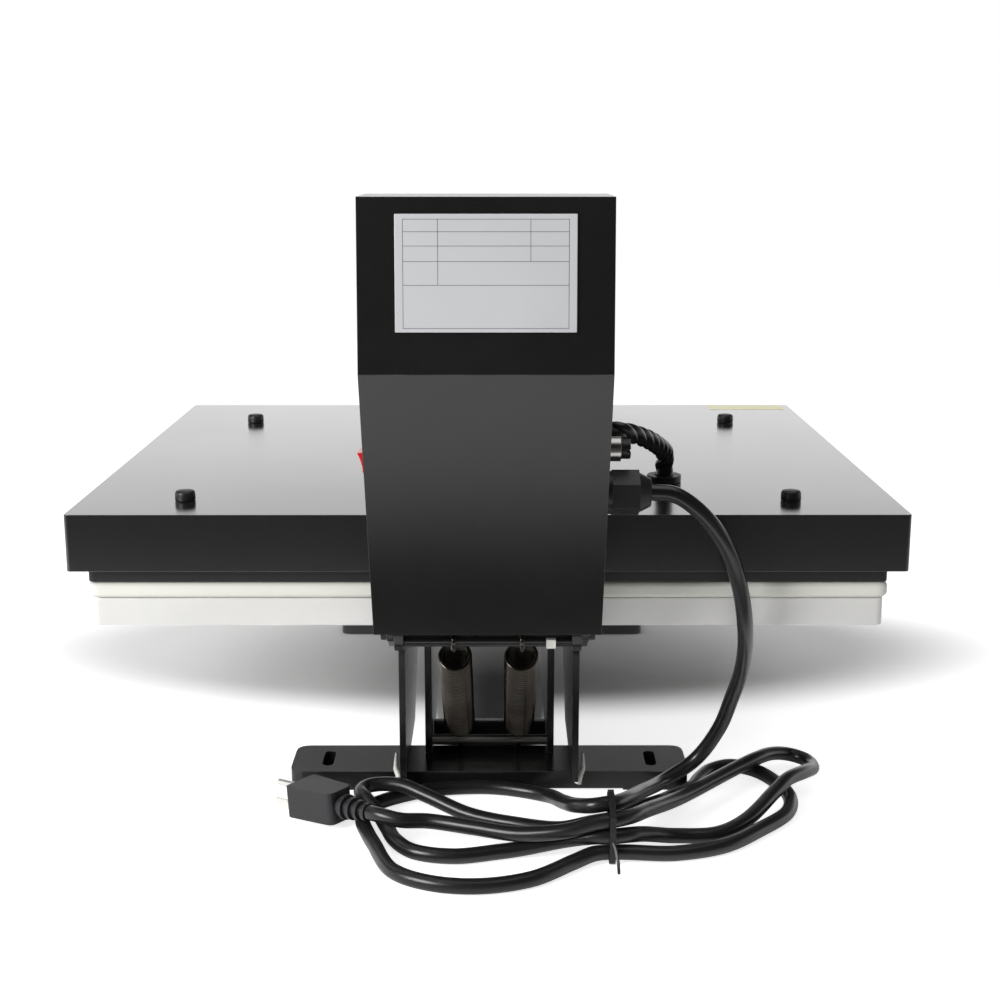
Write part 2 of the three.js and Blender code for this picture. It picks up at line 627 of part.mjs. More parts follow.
const slope = run(panelY, boxFront.panelZ, frontTopY, boxTopZ);
const lowerBack = run(boxBottomY, box.bottomZ, boxFoldY, boxFoldZ);
const upperBack = run(boxFoldY, boxFoldZ, boxTopY, boxTopZ);

/** A group whose y runs up a sloping face and whose z points out of it. */
function facing(y, z, angle, turned = false) {
  const group = new THREE.Group();
  group.position.set(0, y, z);
  group.rotation.x = angle;
  if (turned) group.rotateY(Math.PI);
  return group;
}

/** The bent sheet shell of the control box: back, top and both side walls, open in front and below. */
function boxShell() {
  const front = boxFront;
  const outer = outline([
    [boxBottomY, box.bottomZ],
    [boxFoldY, boxFoldZ],
    [boxTopY, boxTopZ],
    [frontTopY, boxTopZ],
    [panelY, front.panelZ],
    [noseY, front.noseZ],
    [noseY, front.shelfZ],
    [lipY, front.shelfZ],
    [lipY, box.bottomZ],
  ]);
  const wall = box.wall;
  const lowerShift = [-lowerBack.z * wall, lowerBack.y * wall];
  const upperShift = [-upperBack.z * wall, upperBack.y * wall];
  const below = overrun / lowerBack.z;
  const inner = outline([
    [boxBottomY + lowerShift[0] - lowerBack.y * below, box.bottomZ + lowerShift[1] - lowerBack.z * below],
    [boxFoldY + (lowerShift[0] + upperShift[0]) / 2, boxFoldZ],
    [boxTopY + upperShift[0], boxTopZ - wall],
    [noseY - overrun, boxTopZ - wall],
    [noseY - overrun, box.bottomZ - overrun],
  ]);
  const shell = sidePlate(outer, -box.halfWidth, 2 * box.halfWidth);
  const hollow = sidePlate(inner, -box.halfWidth + wall, 2 * (box.halfWidth - wall));
  const beyond = box.halfWidth + overrun;
  const rockerHole = block(
    [0, rockerY - rocker.depth / 2 - seatGap, rocker.z - rocker.height / 2 - seatGap],
    [beyond, rockerY + rocker.depth / 2 + seatGap, rocker.z + rocker.height / 2 + seatGap],
  );
  const fuseHole = barX(-beyond, 0, fuseY, fuse.z, fuse.holeRadius + seatGap, smallSteps);
  const glandHole = barX(-beyond, 0, glandY, gland.z, gland.holeRadius, smallSteps);
  const loomHole = barX(-beyond, 0, loomY, loom.z, bush.holeRadius, smallSteps);
  return cut(shell, hollow, rockerHole, fuseHole, glandHole, loomHole);
}

/** A tool that cuts or fills a rectangle on the sloping panel. */
function onSlope(geometry) {
  return geometry.rotateX(slope.angle).translate(0, panelY, boxFront.panelZ);
}

const displayUp = slope.length * display.upShare;
const buttonUp = slope.length * button.upShare;
const buttonXs = [-button.spacing, 0, button.spacing];

/** The front panel: the sloping face with its openings, and the apron that hangs between the arms. */
function controlPanel() {
  const t = panel.thickness;
  const halfX = box.halfWidth - box.wall - seatGap;
  const topTrim = box.wall + seatGap + t;
  const face = onSlope(block([-halfX, 0, -t], [halfX, slope.length - topTrim, 0]));
  const apron = block(
    [-panel.apronHalf, panelY - t * slope.y, panel.apronBottomZ],
    [panel.apronHalf, panelY + t, boxFront.panelZ + t / 2],
  );
  const window = onSlope(block(
    [-display.width / 2 - seatGap, displayUp - display.height / 2 - seatGap, -overrun],
    [display.width / 2 + seatGap, displayUp + display.height / 2 + seatGap, overrun],
  ));
  const holes = buttonXs.map(
    (x) => onSlope(barZ(x, buttonUp, -overrun, overrun, button.radius + seatGap, smallSteps)),
  );
  return cut(join(face, apron), window, ...holes);
}

/** A button cap with the flange that keeps it behind the panel. */
function buttonCap(x) {
  const behind = -panel.thickness - seatGap;
  const shaft = barZ(x, buttonUp, behind, button.proud, button.radius, smallSteps);
  const flange = barZ(x, buttonUp, behind - button.flange, behind, button.flangeRadius, smallSteps);
  return join(shaft, flange);
}

/** The control box with its panel, fittings and the electrical pieces inside. */
function buildBox() {
  const group = new THREE.Group();
  add(group, 'box_shell', boxShell(), finish.powderBlack);
  add(group, 'control_panel', controlPanel(), finish.powderBlack);

  const front = facing(panelY, boxFront.panelZ, slope.angle);
  const window = block(
    [-display.width / 2, displayUp - display.height / 2, seatGap - display.thickness],
    [display.width / 2, displayUp + display.height / 2, seatGap],
  );
  add(front, 'display_window', window, finish.smokedGlass);
  const names = ['button_down', 'button_set', 'button_up'];
  names.forEach((name, index) => add(front, name, buttonCap(buttonXs[index]), finish.blackPlastic));
  const boardTop = -panel.thickness - seatGap - button.flange - board.standOff;
  const boardBody = block(
    [-board.width / 2, displayUp - board.height * board.downShare, boardTop - board.thickness],
    [board.width / 2, displayUp + board.height * (1 - board.downShare), boardTop],
  );
  const pillars = [-1, 1].flatMap((sideX) => [-1, 1].map((sideY) => {
    const x = sideX * (board.width / 2 - button.radius);
    const y = displayUp + board.height * (1 / 2 - board.downShare) + sideY * (board.height / 2 - button.radius);
    return barZ(
      x,
      y,
      boardTop - board.thickness / 2,
      -panel.thickness - seatGap,
      button.radius / 2,
      cornerSteps * 2,
    );
  }));
  add(front, 'circuit_board', join(boardBody, ...pillars), finish.boardGreen);
  group.add(front);

  const back = facing(boxFoldY, boxFoldZ, upperBack.angle, true);
  const plateLow = [-dataPlate.width / 2, dataPlate.up, seatGap];
  const plateHigh = [dataPlate.width / 2, dataPlate.up + dataPlate.height, seatGap + dataPlate.thickness];
  add(back, 'data_plate', block(plateLow, plateHigh), finish.labelSilver);
  const inside = -box.wall - seatGap;
  const relayLow = [-relay.width / 2, relay.up - relay.height / 4, inside - relay.depth];
  const relayHigh = [relay.width / 2, relay.up + (3 * relay.height) / 4, inside];
  add(back, 'relay', block(relayLow, relayHigh), finish.blackPlastic);
  group.add(back);
  return group;
}

/** A hexagonal bar along x. */
function hexX(fromX, toX, y, z, flats) {
  const corner = flats / 2 / Math.cos(Math.PI / 6);
  return barX(fromX, toX, y, z, corner, 6);
}

/** The switch, fuse socket, gland and loom bush in the side walls. */
function buildFittings() {
  const group = new THREE.Group();
  const wallX = box.halfWidth + seatGap;
  const innerX = box.halfWidth - box.wall;

  const frameOuter = block(
    [wallX, rockerY - rocker.frameDepth / 2, rocker.z - rocker.frameHeight / 2],
    [wallX + rocker.frameProud, rockerY + rocker.frameDepth / 2, rocker.z + rocker.frameHeight / 2],
  );
  const frameNeck = block(
    [innerX - rocker.inside, rockerY - rocker.depth / 2, rocker.z - rocker.height / 2],
    [wallX, rockerY + rocker.depth / 2, rocker.z + rocker.height / 2],
  );
  const pocketX = innerX - rocker.inside + rocker.wall / 2;
  const pocket = block(
    [pocketX, rockerY - rocker.depth / 2 + rocker.wall, rocker.z - rocker.height / 2 + rocker.wall],
    [wallX + overrun, rockerY + rocker.depth / 2 - rocker.wall, rocker.z + rocker.height / 2 - rocker.wall],
  );
  add(group, 'rocker_frame', cut(join(frameOuter, frameNeck), pocket), finish.blackPlastic);

  const halfY = rocker.depth / 2 - rocker.wall - seatGap;
  const halfZ = rocker.height / 2 - rocker.wall - 3 * seatGap;
  const rockerOutline = new THREE.Shape();
  const rootX = pocketX + 2 * seatGap;
  rockerOutline.moveTo(rootX, rocker.z - rocker.rootHalf);
  rockerOutline.lineTo(wallX + rocker.proud / 2, rocker.z - halfZ);
  rockerOutline.quadraticCurveTo(
    wallX + rocker.proud / 2, rocker.z, wallX + rocker.proud, rocker.z + halfZ,
  );
  rockerOutline.lineTo(wallX + rocker.proud / 2, rocker.z + halfZ);
  rockerOutline.lineTo(rootX, rocker.z + rocker.rootHalf);
  rockerOutline.closePath();
  const rockerBody = new THREE.ExtrudeGeometry(
    rockerOutline,
    { depth: 2 * halfY, bevelEnabled: false, curveSegments: cornerSteps },
  );
  rockerBody.applyMatrix4(
    new THREE.Matrix4().set(1, 0, 0, 0, 0, 0, -1, rockerY + halfY, 0, 1, 0, 0, 0, 0, 0, 1),
  );
  add(group, 'rocker', rockerBody, finish.redPlastic);

  const collar = barX(-wallX - fuse.collarLength, -wallX, fuseY, fuse.z, fuse.collarRadius, smallSteps);
  const fuseNeck = barX(-wallX, -innerX, fuseY, fuse.z, fuse.holeRadius, smallSteps);
  add(group, 'fuse_socket', join(collar, fuseNeck), finish.steel);
  const capFrom = -wallX - fuse.collarLength - seatGap;
  const capBody = barX(capFrom - fuse.capLength, capFrom, fuseY, fuse.z, fuse.capRadius, smallSteps);
  const capSlot = block(
    [capFrom - fuse.capLength - overrun, fuseY - fuse.capRadius, fuse.z - 2 * seatGap],
    [capFrom - fuse.capLength / 2, fuseY + fuse.capRadius, fuse.z + 2 * seatGap],
  );
  add(group, 'fuse_cap', cut(capBody, capSlot), finish.blackPlastic);

  const hexFrom = -wallX - gland.flange;
  const domeFrom = hexFrom - gland.hexLength;
  const flange = barX(hexFrom, -wallX, glandY, gland.z, gland.flangeRadius, roundSteps);
  const glandNeck = barX(-wallX, -innerX, glandY, gland.z, gland.holeRadius - seatGap, roundSteps);
  const hex = hexX(domeFrom, hexFrom, glandY, gland.z, gland.flats);
  const dome = new THREE.CylinderGeometry(gland.domeRadius, gland.flats / 2, gland.domeLength, roundSteps);
  dome.rotateZ(Math.PI / 2).translate(domeFrom - gland.domeLength / 2, glandY, gland.z);
  const glandBore = barX(
    domeFrom - gland.domeLength - overrun,
    -innerX + overrun,
    glandY,
    gland.z,
    cord.radius + seatGap,
    smallSteps,
  );
  add(group, 'cable_gland', cut(join(flange, glandNeck, hex, dome), glandBore), finish.blackPlastic);

  const ring = barX(-wallX - bush.proud, -wallX, loomY, loom.z, bush.radius, smallSteps);
  const ringNeck = barX(-wallX, -innerX, loomY, loom.z, bush.holeRadius - seatGap, smallSteps);
  const ringBore = barX(
    -wallX - bush.proud - overrun, -innerX + overrun, loomY, loom.z, loom.radius + seatGap, smallSteps,
  );
  add(group, 'loom_bush', cut(join(ring, ringNeck), ringBore), finish.blackPlastic);
  return group;
}

/** The heated head that hangs from the screw: platen, insulation, foot and cover. */
function buildHead() {
  const group = new THREE.Group();
  const footBottomZ = heatTopZ + seatGap;
  add(group, 'heat_platen', pressPlate(heatPlaten, heatBottomZ), finish.blackPlaten);

  const capSpots = [[-capX, capFrontY], [capX, capFrontY], [-capX, capRearY], [capX, capRearY]];
  const shankHoles = (radius, fromZ, toZ) => capSpots.map(
    ([x, y]) => barZ(x, y, fromZ, toZ, radius, cornerSteps * 2),
  );
  const insulationHole = barZ(0, pressY, heatTopZ, coverTopZ, pressFoot.radius + seatGap);
  const insulationHoles = shankHoles(cap.shankRadius + seatGap, heatTopZ, coverTopZ);
  add(
    group,
    'insulation_board',
    cut(pressPlate(insulationSizes, insulationBottomZ), insulationHole, ...insulationHoles),
    finish.glassFibre,
  );

  const disc = barZ(0, pressY, footBottomZ, footBottomZ + pressFoot.thickness, pressFoot.radius);
  const half = pressFoot.stem / 2;
  const stem = block([-half, pressY - half, footBottomZ], [half, pressY + half, pressFoot.stemTopZ]);
  add(group, 'press_foot', join(disc, stem), finish.steel);

  const hollowSizes = {
    width: coverSizes.width - 2 * cover.wall,
    depth: coverSizes.depth - 2 * cover.wall,
    corner: cover.corner,
    thickness: cover.height - cover.wall + overrun,
  };
  const stemHole = block(
    [-half - seatGap, pressY - half - seatGap, coverBottomZ],
    [half + seatGap, pressY + half + seatGap, coverTopZ + overrun],
  );
  const grommetHole = barZ(
    loom.endX, loom.endY, coverBottomZ, coverTopZ + overrun, grommet.neckRadius + seatGap, smallSteps,
  );
  const coverHoles = shankHoles(cap.shankRadius + seatGap, coverBottomZ, coverTopZ + overrun);
  const hollow = pressPlate(hollowSizes, coverBottomZ - overrun);
  add(
    group,
    'cover',
    cut(pressPlate(coverSizes, coverBottomZ), hollow, stemHole, grommetHole, ...coverHoles),
    finish.powderBlack,
  );

  const capNames = [
    'cover_cap_front_right', 'cover_cap_front_left', 'cover_cap_rear_right', 'cover_cap_rear_left',
  ];
  capSpots.forEach(([x, y], index) => {
    const headZ = coverTopZ + seatGap;
    const head = barZ(x, y, headZ, headZ + cap.headHeight, cap.headRadius, smallSteps);
    const shank = barZ(
      x, y, heatTopZ + seatGap, headZ + cap.headHeight / 2, cap.shankRadius, cornerSteps * 2,
    );
    add(group, capNames[index], join(head, shank), finish.blackPlastic);
  });

  const ringTop = coverTopZ + seatGap + grommet.height;
  const ring = barZ(loom.endX, loom.endY, coverTopZ + seatGap, ringTop, grommet.radius, smallSteps);
  const ringNeck = barZ(
    loom.endX,
    loom.endY,
    coverTopZ - cover.wall - overrun,
    coverTopZ + seatGap,
    grommet.neckRadius,
    smallSteps,
  );
  const ringBore = barZ(
    loom.endX, loom.endY, coverBottomZ, ringTop + overrun, loom.radius + seatGap, smallSteps,
  );
  add(group, 'cover_grommet', cut(join(ring, ringNeck), ringBore), finish.blackPlastic);
  return group;
}

/** The wire loom from the box's side to the cover. */
function loomTube() {
  const startX = -(box.halfWidth - box.wall / 2);
  const dropZ = coverTopZ - cover.wall - seatGap;
  const route = [
    [startX, loomY, loom.z],
    [startX - 2 * bush.proud, loomY, loom.z],
    [startX - 4 * bush.proud, loomY, loom.z],
    ...loomRoute,
    [loom.endX, loom.endY, coverTopZ + 2.4 * grommet.height],
    [loom.endX, loom.endY, coverTopZ + grommet.height],
    [loom.endX, loom.endY, dropZ],
  ];
  const curve = new THREE.CatmullRomCurve3(route.map((point) => new THREE.Vector3(...point)));
  return tube(curve.getPoints(30), loom.radius, 10);
}

/** The pressure screw with its hand knob. */
function buildScrew() {
  const group = new THREE.Group();
  const shaft = barZ(0, pressY, pressFoot.stemTopZ + seatGap, screw.knobBottomZ - seatGap, screw.radius);
  add(group, 'pressure_screw', shaft, finish.steel);
  const body = barZ(0, pressY, screw.knobBottomZ, screw.knobBottomZ + knob.height, knob.radius);
  const lobes = [];
  for (let index = 0; index < knob.lobes; index += 1) {
    const [x, y] = polar(0, pressY, knob.radius - knob.lobeRadius / 4, (360 * index) / knob.lobes);
    lobes.push(barZ(x, y, screw.knobBottomZ, screw.knobBottomZ + knob.height, knob.lobeRadius, smallSteps));
  }
  const crown = barZ(
    0,
    pressY,
    screw.knobBottomZ,
    screw.knobBottomZ + knob.height + knob.domeHeight,
    knob.radius / 2,
  );
  add(group, 'pressure_knob', join(body, crown, ...lobes), finish.blackPlastic);
  return group;
}

/** A lever plate from the link's stud past the pivot to the grip, +X side. */
function leverPlate() {
  const innerX = cheek.outerX - cheek.thickness;
  const line = run(handleY, handle.pivotZ, handle.gripY, handle.gripZ);
  const [acrossY, acrossZ] = [-line.z, line.y];
  const shape = outline([
    [handleY + acrossY * handle.rootHalf, handle.pivotZ + acrossZ * handle.rootHalf],
    [handle.gripY + acrossY * handle.tipHalf, handle.gripZ + acrossZ * handle.tipHalf],
    [handle.gripY - acrossY * handle.tipHalf, handle.gripZ - acrossZ * handle.tipHalf],
    [handleY - acrossY * handle.rootHalf, handle.pivotZ - acrossZ * handle.rootHalf],
  ]);
  const stem = run(handleY, handle.pivotZ, upperStudY, upperStudZ);
  const stemShape = outline([
    [handleY - stem.z * link.bossRadius, handle.pivotZ + stem.y * link.bossRadius],
    [upperStudY - stem.z * link.bossRadius, upperStudZ + stem.y * link.bossRadius],
    [upperStudY + stem.z * link.bossRadius, upperStudZ - stem.y * link.bossRadius],
    [handleY + stem.z * link.bossRadius, handle.pivotZ - stem.y * link.bossRadius],
  ]);
  const plate = sidePlate(shape, innerX, cheek.thickness);
  const stemPlate = sidePlate(stemShape, innerX, cheek.thickness);
  const boss = barX(innerX, cheek.outerX, handleY, handle.pivotZ, handle.bossRadius);
  const eye = barX(innerX, cheek.outerX, handle.gripY, handle.gripZ, handle.eyeRadius);
  const stemEnd = barX(innerX, cheek.outerX, upperStudY, upperStudZ, link.bossRadius, smallSteps);
  const stud = barX(innerX, studOuterX, upperStudY, upperStudZ, link.studRadius, smallSteps);
  const pinHole = barX(0, cheek.outerX + overrun, handleY, handle.pivotZ, handlePin.radius + runningGap);
  const rodHole = barX(0, cheek.outerX + overrun, handle.gripY, handle.gripZ, grip.rodRadius + runningGap);
  return cut(join(plate, stemPlate, boss, eye, stemEnd, stud), pinHole, rodHole);
}

/** A link from the stud on the cheek to the stud on the lever, +X side. */
function linkPlate() {
  const fromX = cheek.outerX + link.clearance;
  const line = run(lowerStudY, lowerStudZ, upperStudY, upperStudZ);
  const shape = outline([
    [lowerStudY - line.z * link.halfWidth, lowerStudZ + line.y * link.halfWidth],
    [upperStudY - line.z * link.halfWidth, upperStudZ + line.y * link.halfWidth],
    [upperStudY + line.z * link.halfWidth, upperStudZ - line.y * link.halfWidth],
    [lowerStudY + line.z * link.halfWidth, lowerStudZ - line.y * link.halfWidth],
  ]);
  const toX = fromX + link.thickness;
  const bar = sidePlate(shape, fromX, link.thickness);
  const lowEnd = barX(fromX, toX, lowerStudY, lowerStudZ, link.bossRadius, smallSteps);
  const highEnd = barX(fromX, toX, upperStudY, upperStudZ, link.bossRadius, smallSteps);
  const lowHole = barX(0, toX + overrun, lowerStudY, lowerStudZ, link.studRadius + runningGap, smallSteps);
  const highHole = barX(
    0, toX + overrun, upperStudY, upperStudZ, link.studRadius + link.openPlay, smallSteps,
  );
  return cut(join(bar, lowEnd, highEnd), lowHole, highHole);
}

/** The handle: two levers, the cross rod and its foam grip, and the two links. */
function buildHandle() {
  const group = new THREE.Group();
  add(group, 'lever_left', leverPlate(), finish.powderBlack);
  add(group, 'lever_right', mirrored(leverPlate()), finish.powderBlack);
  const rod = barX(-cheek.outerX, cheek.outerX, handle.gripY, handle.gripZ, grip.rodRadius);
  add(group, 'grip_rod', rod, finish.steel);
  const half = cheek.outerX - cheek.thickness - seatGap;
  const foam = barX(-half, half, handle.gripY, handle.gripZ, grip.foamRadius);
  const bore = barX(-half - overrun, half + overrun, handle.gripY, handle.gripZ, grip.rodRadius + seatGap);
  add(group, 'foam_grip', cut(foam, bore), finish.foam);
  add(group, 'link_left', linkPlate(), finish.steel);
  add(group, 'link_right', mirrored(linkPlate()), finish.steel);
  return group;
}

/** Points along a smooth curve through a route, at most a set distance apart. */
function alongRoute(route, spacing) {
  const curve = new THREE.CatmullRomCurve3(route.map((point) => new THREE.Vector3(...point)));
  const pieces = route.length - 1;
  const points = [];
  for (let piece = 0; piece < pieces; piece += 1) {
    const reach = new THREE.Vector3(...route[piece]).distanceTo(new THREE.Vector3(...route[piece + 1]));
    const steps = Math.max(2, Math.round(reach / spacing));
    for (let step = 0; step < steps; step += 1) points.push(curve.getPoint((piece + step / steps) / pieces));
  }
  points.push(curve.getPoint(1));
  for (const point of points) point.z = Math.max(point.z, cord.radius);
  return points;
}

/** The plug with its ribbed relief, blades and earth pin, first drawn along x and then set in its place. */
function plugBody() {
  const tail = new THREE.Vector3(...plug.tail);
  const along = new THREE.Vector3(...plug.tip).sub(tail);
  const length = along.length();
  along.normalize();
  const across = new THREE.Vector3(-along.y, along.x, 0).normalize();
  const up = new THREE.Vector3().crossVectors(along, across);

  const ribs = 4;
  const profile = [new THREE.Vector2(0, 0)];
  for (let rib = 0; rib < ribs; rib += 1) {
    const from = (relief.length * rib) / ribs;
    const radius = relief.tailRadius + ((relief.rootRadius - relief.tailRadius) * rib) / (ribs - 1);
    const half = relief.length / ribs / 2;
    profile.push(new THREE.Vector2(radius, from), new THREE.Vector2(radius, from + half));
    profile.push(new THREE.Vector2(radius - relief.groove, from + half));
    profile.push(new THREE.Vector2(radius - relief.groove, from + 2 * half));
  }
  const rootOverlap = relief.groove;
  profile.push(new THREE.Vector2(relief.tailRadius, relief.length + rootOverlap));
  profile.push(new THREE.Vector2(0, relief.length + rootOverlap));
  const ribbed = new THREE.LatheGeometry(profile, smallSteps).rotateZ(-Math.PI / 2);

  const body = flatPlate(outline([
    [relief.length, -plug.tailWidth / 2, plug.corner],
    [length, -plug.tipWidth / 2, plug.corner / 2],
    [length, plug.tipWidth / 2, plug.corner / 2],
    [relief.length, plug.tailWidth / 2, plug.corner],
  ]), -plug.height / 2, plug.height);
  const blades = [-1, 1].map((side) => block(
    [length - plug.corner, (side * blade.spacing) / 2 - blade.thickness / 2, -blade.drop - blade.height / 2],
    [length + blade.length, (side * blade.spacing) / 2 + blade.thickness / 2, -blade.drop + blade.height / 2],
  ));
  const pin = barX(
    length - plug.corner, length + earthPin.length, 0, earthPin.rise, earthPin.radius, cornerSteps * 2,
  );
  const place = new THREE.Matrix4().makeBasis(along, across, up).setPosition(tail);
  return join(ribbed, body, ...blades, pin).applyMatrix4(place);
}

/** The tie round the hank, with its short tail on the floor. */
function tieBand() {
  const ys = tieOutline.map(([y]) => y);
  const zs = tieOutline.map(([, z]) => z);
  const middle = [(Math.min(...ys) + Math.max(...ys)) / 2, (Math.min(...zs) + Math.max(...zs)) / 2];
  const half = [(Math.max(...ys) - Math.min(...ys)) / 2, (Math.max(...zs) - Math.min(...zs)) / 2];
  const grown = tieOutline.map(([y, z]) => [
    middle[0] + (y - middle[0]) * (1 + tie.thickness / half[0]),
    middle[1] + (z - middle[1]) * (1 + tie.thickness / half[1]),
  ]);
  const band = sidePlate(outline(grown), tie.x - tie.width / 2, tie.width);
  const opening = sidePlate(outline(tieOutline), tie.x - tie.width, 2 * tie.width);
  const tail = tube(tieTail.map((point) => new THREE.Vector3(...point)), tie.tailRadius, cornerSteps);
  return cut(join(band, tail), opening);
}

/** The mains cord down to the tie, the tied hank, the tie and the plug. */
function buildCord() {
  const group = new THREE.Group();
  const [startX, startY, startZ] = dropRoute[0];
  const hidden = [-(box.halfWidth - box.wall), startY, startZ];
  const route = [hidden, [startX, startY, startZ], ...dropRoute.slice(1), ...hankRoute];
  const whole = alongRoute(route, cord.radius * cord.stepShare);
  const tieAt = whole.findIndex((point, index) => index > dropRoute.length && point.y > foot.rearY
    && point.z < springBarZ / 2 && point.x >= tie.x);
  const drop = whole.slice(0, tieAt + 1);
  const rest = whole.slice(tieAt);
  rest[0] = rest[0].clone().lerp(rest[1], seatGap / rest[0].distanceTo(rest[1]));
  console.log('least gap between strands, mm:', leastGap(whole, cord.radius).toFixed(2));
  add(group, 'mains_cord', tube(drop, cord.radius, cord.sides), finish.cordBlack);
  add(group, 'cord_hank', tube(rest, cord.radius, cord.sides), finish.cordBlack);
  add(group, 'cord_tie', tieBand(), finish.blackPlastic);
  add(group, 'mains_plug', plugBody(), finish.blackPlastic);
  return group;
}

const press = new THREE.Group();
press.name = 'clamshell_heat_press';
press.add(buildBase(), buildSprings(), buildArm(), buildBox(), buildFittings(), buildHead());
add(press, 'wire_loom', loomTube(), finish.cordBlack);
press.add(buildScrew(), buildHandle(), buildCord());

export default press;
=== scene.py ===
"""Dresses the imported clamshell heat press: finishes, edges, springs, loom, cord, studio and camera."""

import json
import logging
import math
from dataclasses import dataclass
from enum import Enum
from typing import Sequence

import bmesh
import bpy
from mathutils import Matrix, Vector

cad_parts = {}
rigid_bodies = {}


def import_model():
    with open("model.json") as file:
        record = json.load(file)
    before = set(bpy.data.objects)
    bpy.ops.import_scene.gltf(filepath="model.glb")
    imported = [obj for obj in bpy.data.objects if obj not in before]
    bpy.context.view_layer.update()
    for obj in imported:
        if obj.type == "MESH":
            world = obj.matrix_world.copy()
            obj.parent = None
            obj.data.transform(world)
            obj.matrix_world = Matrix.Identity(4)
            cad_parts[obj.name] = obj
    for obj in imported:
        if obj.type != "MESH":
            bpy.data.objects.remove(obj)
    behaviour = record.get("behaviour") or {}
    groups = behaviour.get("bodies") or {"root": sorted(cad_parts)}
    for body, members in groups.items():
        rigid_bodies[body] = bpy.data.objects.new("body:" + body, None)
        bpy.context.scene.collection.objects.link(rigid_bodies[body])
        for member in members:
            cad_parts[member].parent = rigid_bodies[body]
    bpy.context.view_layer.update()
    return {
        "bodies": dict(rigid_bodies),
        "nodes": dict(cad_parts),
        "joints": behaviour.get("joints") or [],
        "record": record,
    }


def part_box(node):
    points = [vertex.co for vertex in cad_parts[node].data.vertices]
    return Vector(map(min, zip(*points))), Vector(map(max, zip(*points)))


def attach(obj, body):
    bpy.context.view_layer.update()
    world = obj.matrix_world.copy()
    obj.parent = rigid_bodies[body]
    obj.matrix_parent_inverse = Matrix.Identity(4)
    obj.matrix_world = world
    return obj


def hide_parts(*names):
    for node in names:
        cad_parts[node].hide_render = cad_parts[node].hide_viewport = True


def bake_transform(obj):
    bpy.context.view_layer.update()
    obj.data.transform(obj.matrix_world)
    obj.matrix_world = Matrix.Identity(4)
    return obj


LOG = logging.getLogger("heat_press")
Point = tuple[float, float, float]
Piece = bpy.types.Object
Socket = bpy.types.NodeSocket
MM = 0.001
EVEN = (1.0, 1.0, 1.0)
WHITE = (1, 1, 1, 1)
DUST = (0.42, 0.41, 0.39, 1)
DUST_SCALE = 90.0
NOISE_LOW = 0.3
NOISE_HIGH = 0.7
GLOSS_SCALE = 1.5
GLOSS_SPREAD = 0.06
SHARP_ANGLE = 32.0
FLAT_ANGLE = 0.6
TUBE_ANGLE = 50.0
SAME_POINT = 0.00001
SAME_WAY = 0.99
DRILL_SPARE = 0.01


@dataclass(frozen=True)
class Ramp:
    """A change from one value to another, and where it starts and ends."""

    start: float
    end: float
    low: float
    high: float


class Graph:
    """The nodes of a material or a world, with short ways to add to them."""

    def __init__(self, owner: bpy.types.Material | bpy.types.World, coordinates: str) -> None:
        """Starts from the owner's own nodes.

        Args:
            owner: The material or world.
            coordinates: The coordinates that its patterns lie on.
        """
        owner.use_nodes = True
        self.tree = owner.node_tree
        self.place = self.add("ShaderNodeTexCoord", {}, coordinates)

    def feed(self, socket: Socket, value: object) -> None:
        """Links an input to another socket, or gives it a constant.

        Args:
            socket: The input.
            value: The other socket or the constant.
        """
        if isinstance(value, Socket):
            self.tree.links.new(value, socket)
        else:
            socket.default_value = value

    def add(self, kind: str, inputs: dict, output: str, **choices: str) -> Socket:
        """Adds a node.

        Args:
            kind: The node's type.
            inputs: A socket or a constant for each input.
            output: The name of the wanted output.
            choices: The node's own settings.

        Returns:
            The output's socket.
        """
        node = self.tree.nodes.new(kind)
        for name, choice in choices.items():
            setattr(node, name, choice)
        for name, value in inputs.items():
            self.feed(node.inputs[name], value)
        return node.outputs[output]

    def ray(self, kind: str) -> Socket:
        """Tells whether the ray is of a kind, such as a camera ray."""
        return self.add("ShaderNodeLightPath", {}, kind)

    def part(self, axis: str) -> Socket:
        """Gives one coordinate."""
        return self.add("ShaderNodeSeparateXYZ", {"Vector": self.place}, axis)

    def work_out(self, operation: str, *values: object) -> Socket:
        """Does one sum with one or two values."""
        return self.add("ShaderNodeMath", dict(enumerate(values)), "Value", operation=operation)

    def mix(self, factor: Socket, first: object, second: object, kind: str = "FLOAT") -> Socket:
        """Goes from the first value to the second as the factor goes from 0 to 1."""
        ends = {"Factor": factor, "A": first, "B": second}
        return self.add("ShaderNodeMix", ends, "Result", data_type=kind)

    def ramp(self, value: Socket, ramp: Ramp, kind: str = "LINEAR") -> Socket:
        """Maps a value through a ramp."""
        ends = {"From Min": ramp.start, "From Max": ramp.end, "To Min": ramp.low, "To Max": ramp.high}
        return self.add("ShaderNodeMapRange", {**ends, "Value": value}, "Result", interpolation_type=kind)

    def wander(self, low: float, high: float, scale: float, detail: float) -> Socket:
        """Adds noise whose usual spread is mapped to low and high."""
        return self.ramp(self.noise(scale, detail), Ramp(NOISE_LOW, NOISE_HIGH, low, high))

    def noise(self, scale: float, detail: float, stretch: Point = EVEN) -> Socket:
        """Adds noise, so fine per metre and with so many octaves."""
        place = self.add("ShaderNodeMapping", {"Vector": self.place, "Scale": stretch}, "Vector")
        return self.add("ShaderNodeTexNoise", {"Vector": place, "Scale": scale, "Detail": detail}, "Fac")


@dataclass(frozen=True)
class Grain:
    """A relief's pattern: noise with its octaves and stretch, or cells if it has a randomness."""

    scale: float
    detail: float = 2.0
    stretch: Point = EVEN
    randomness: float = 0.0


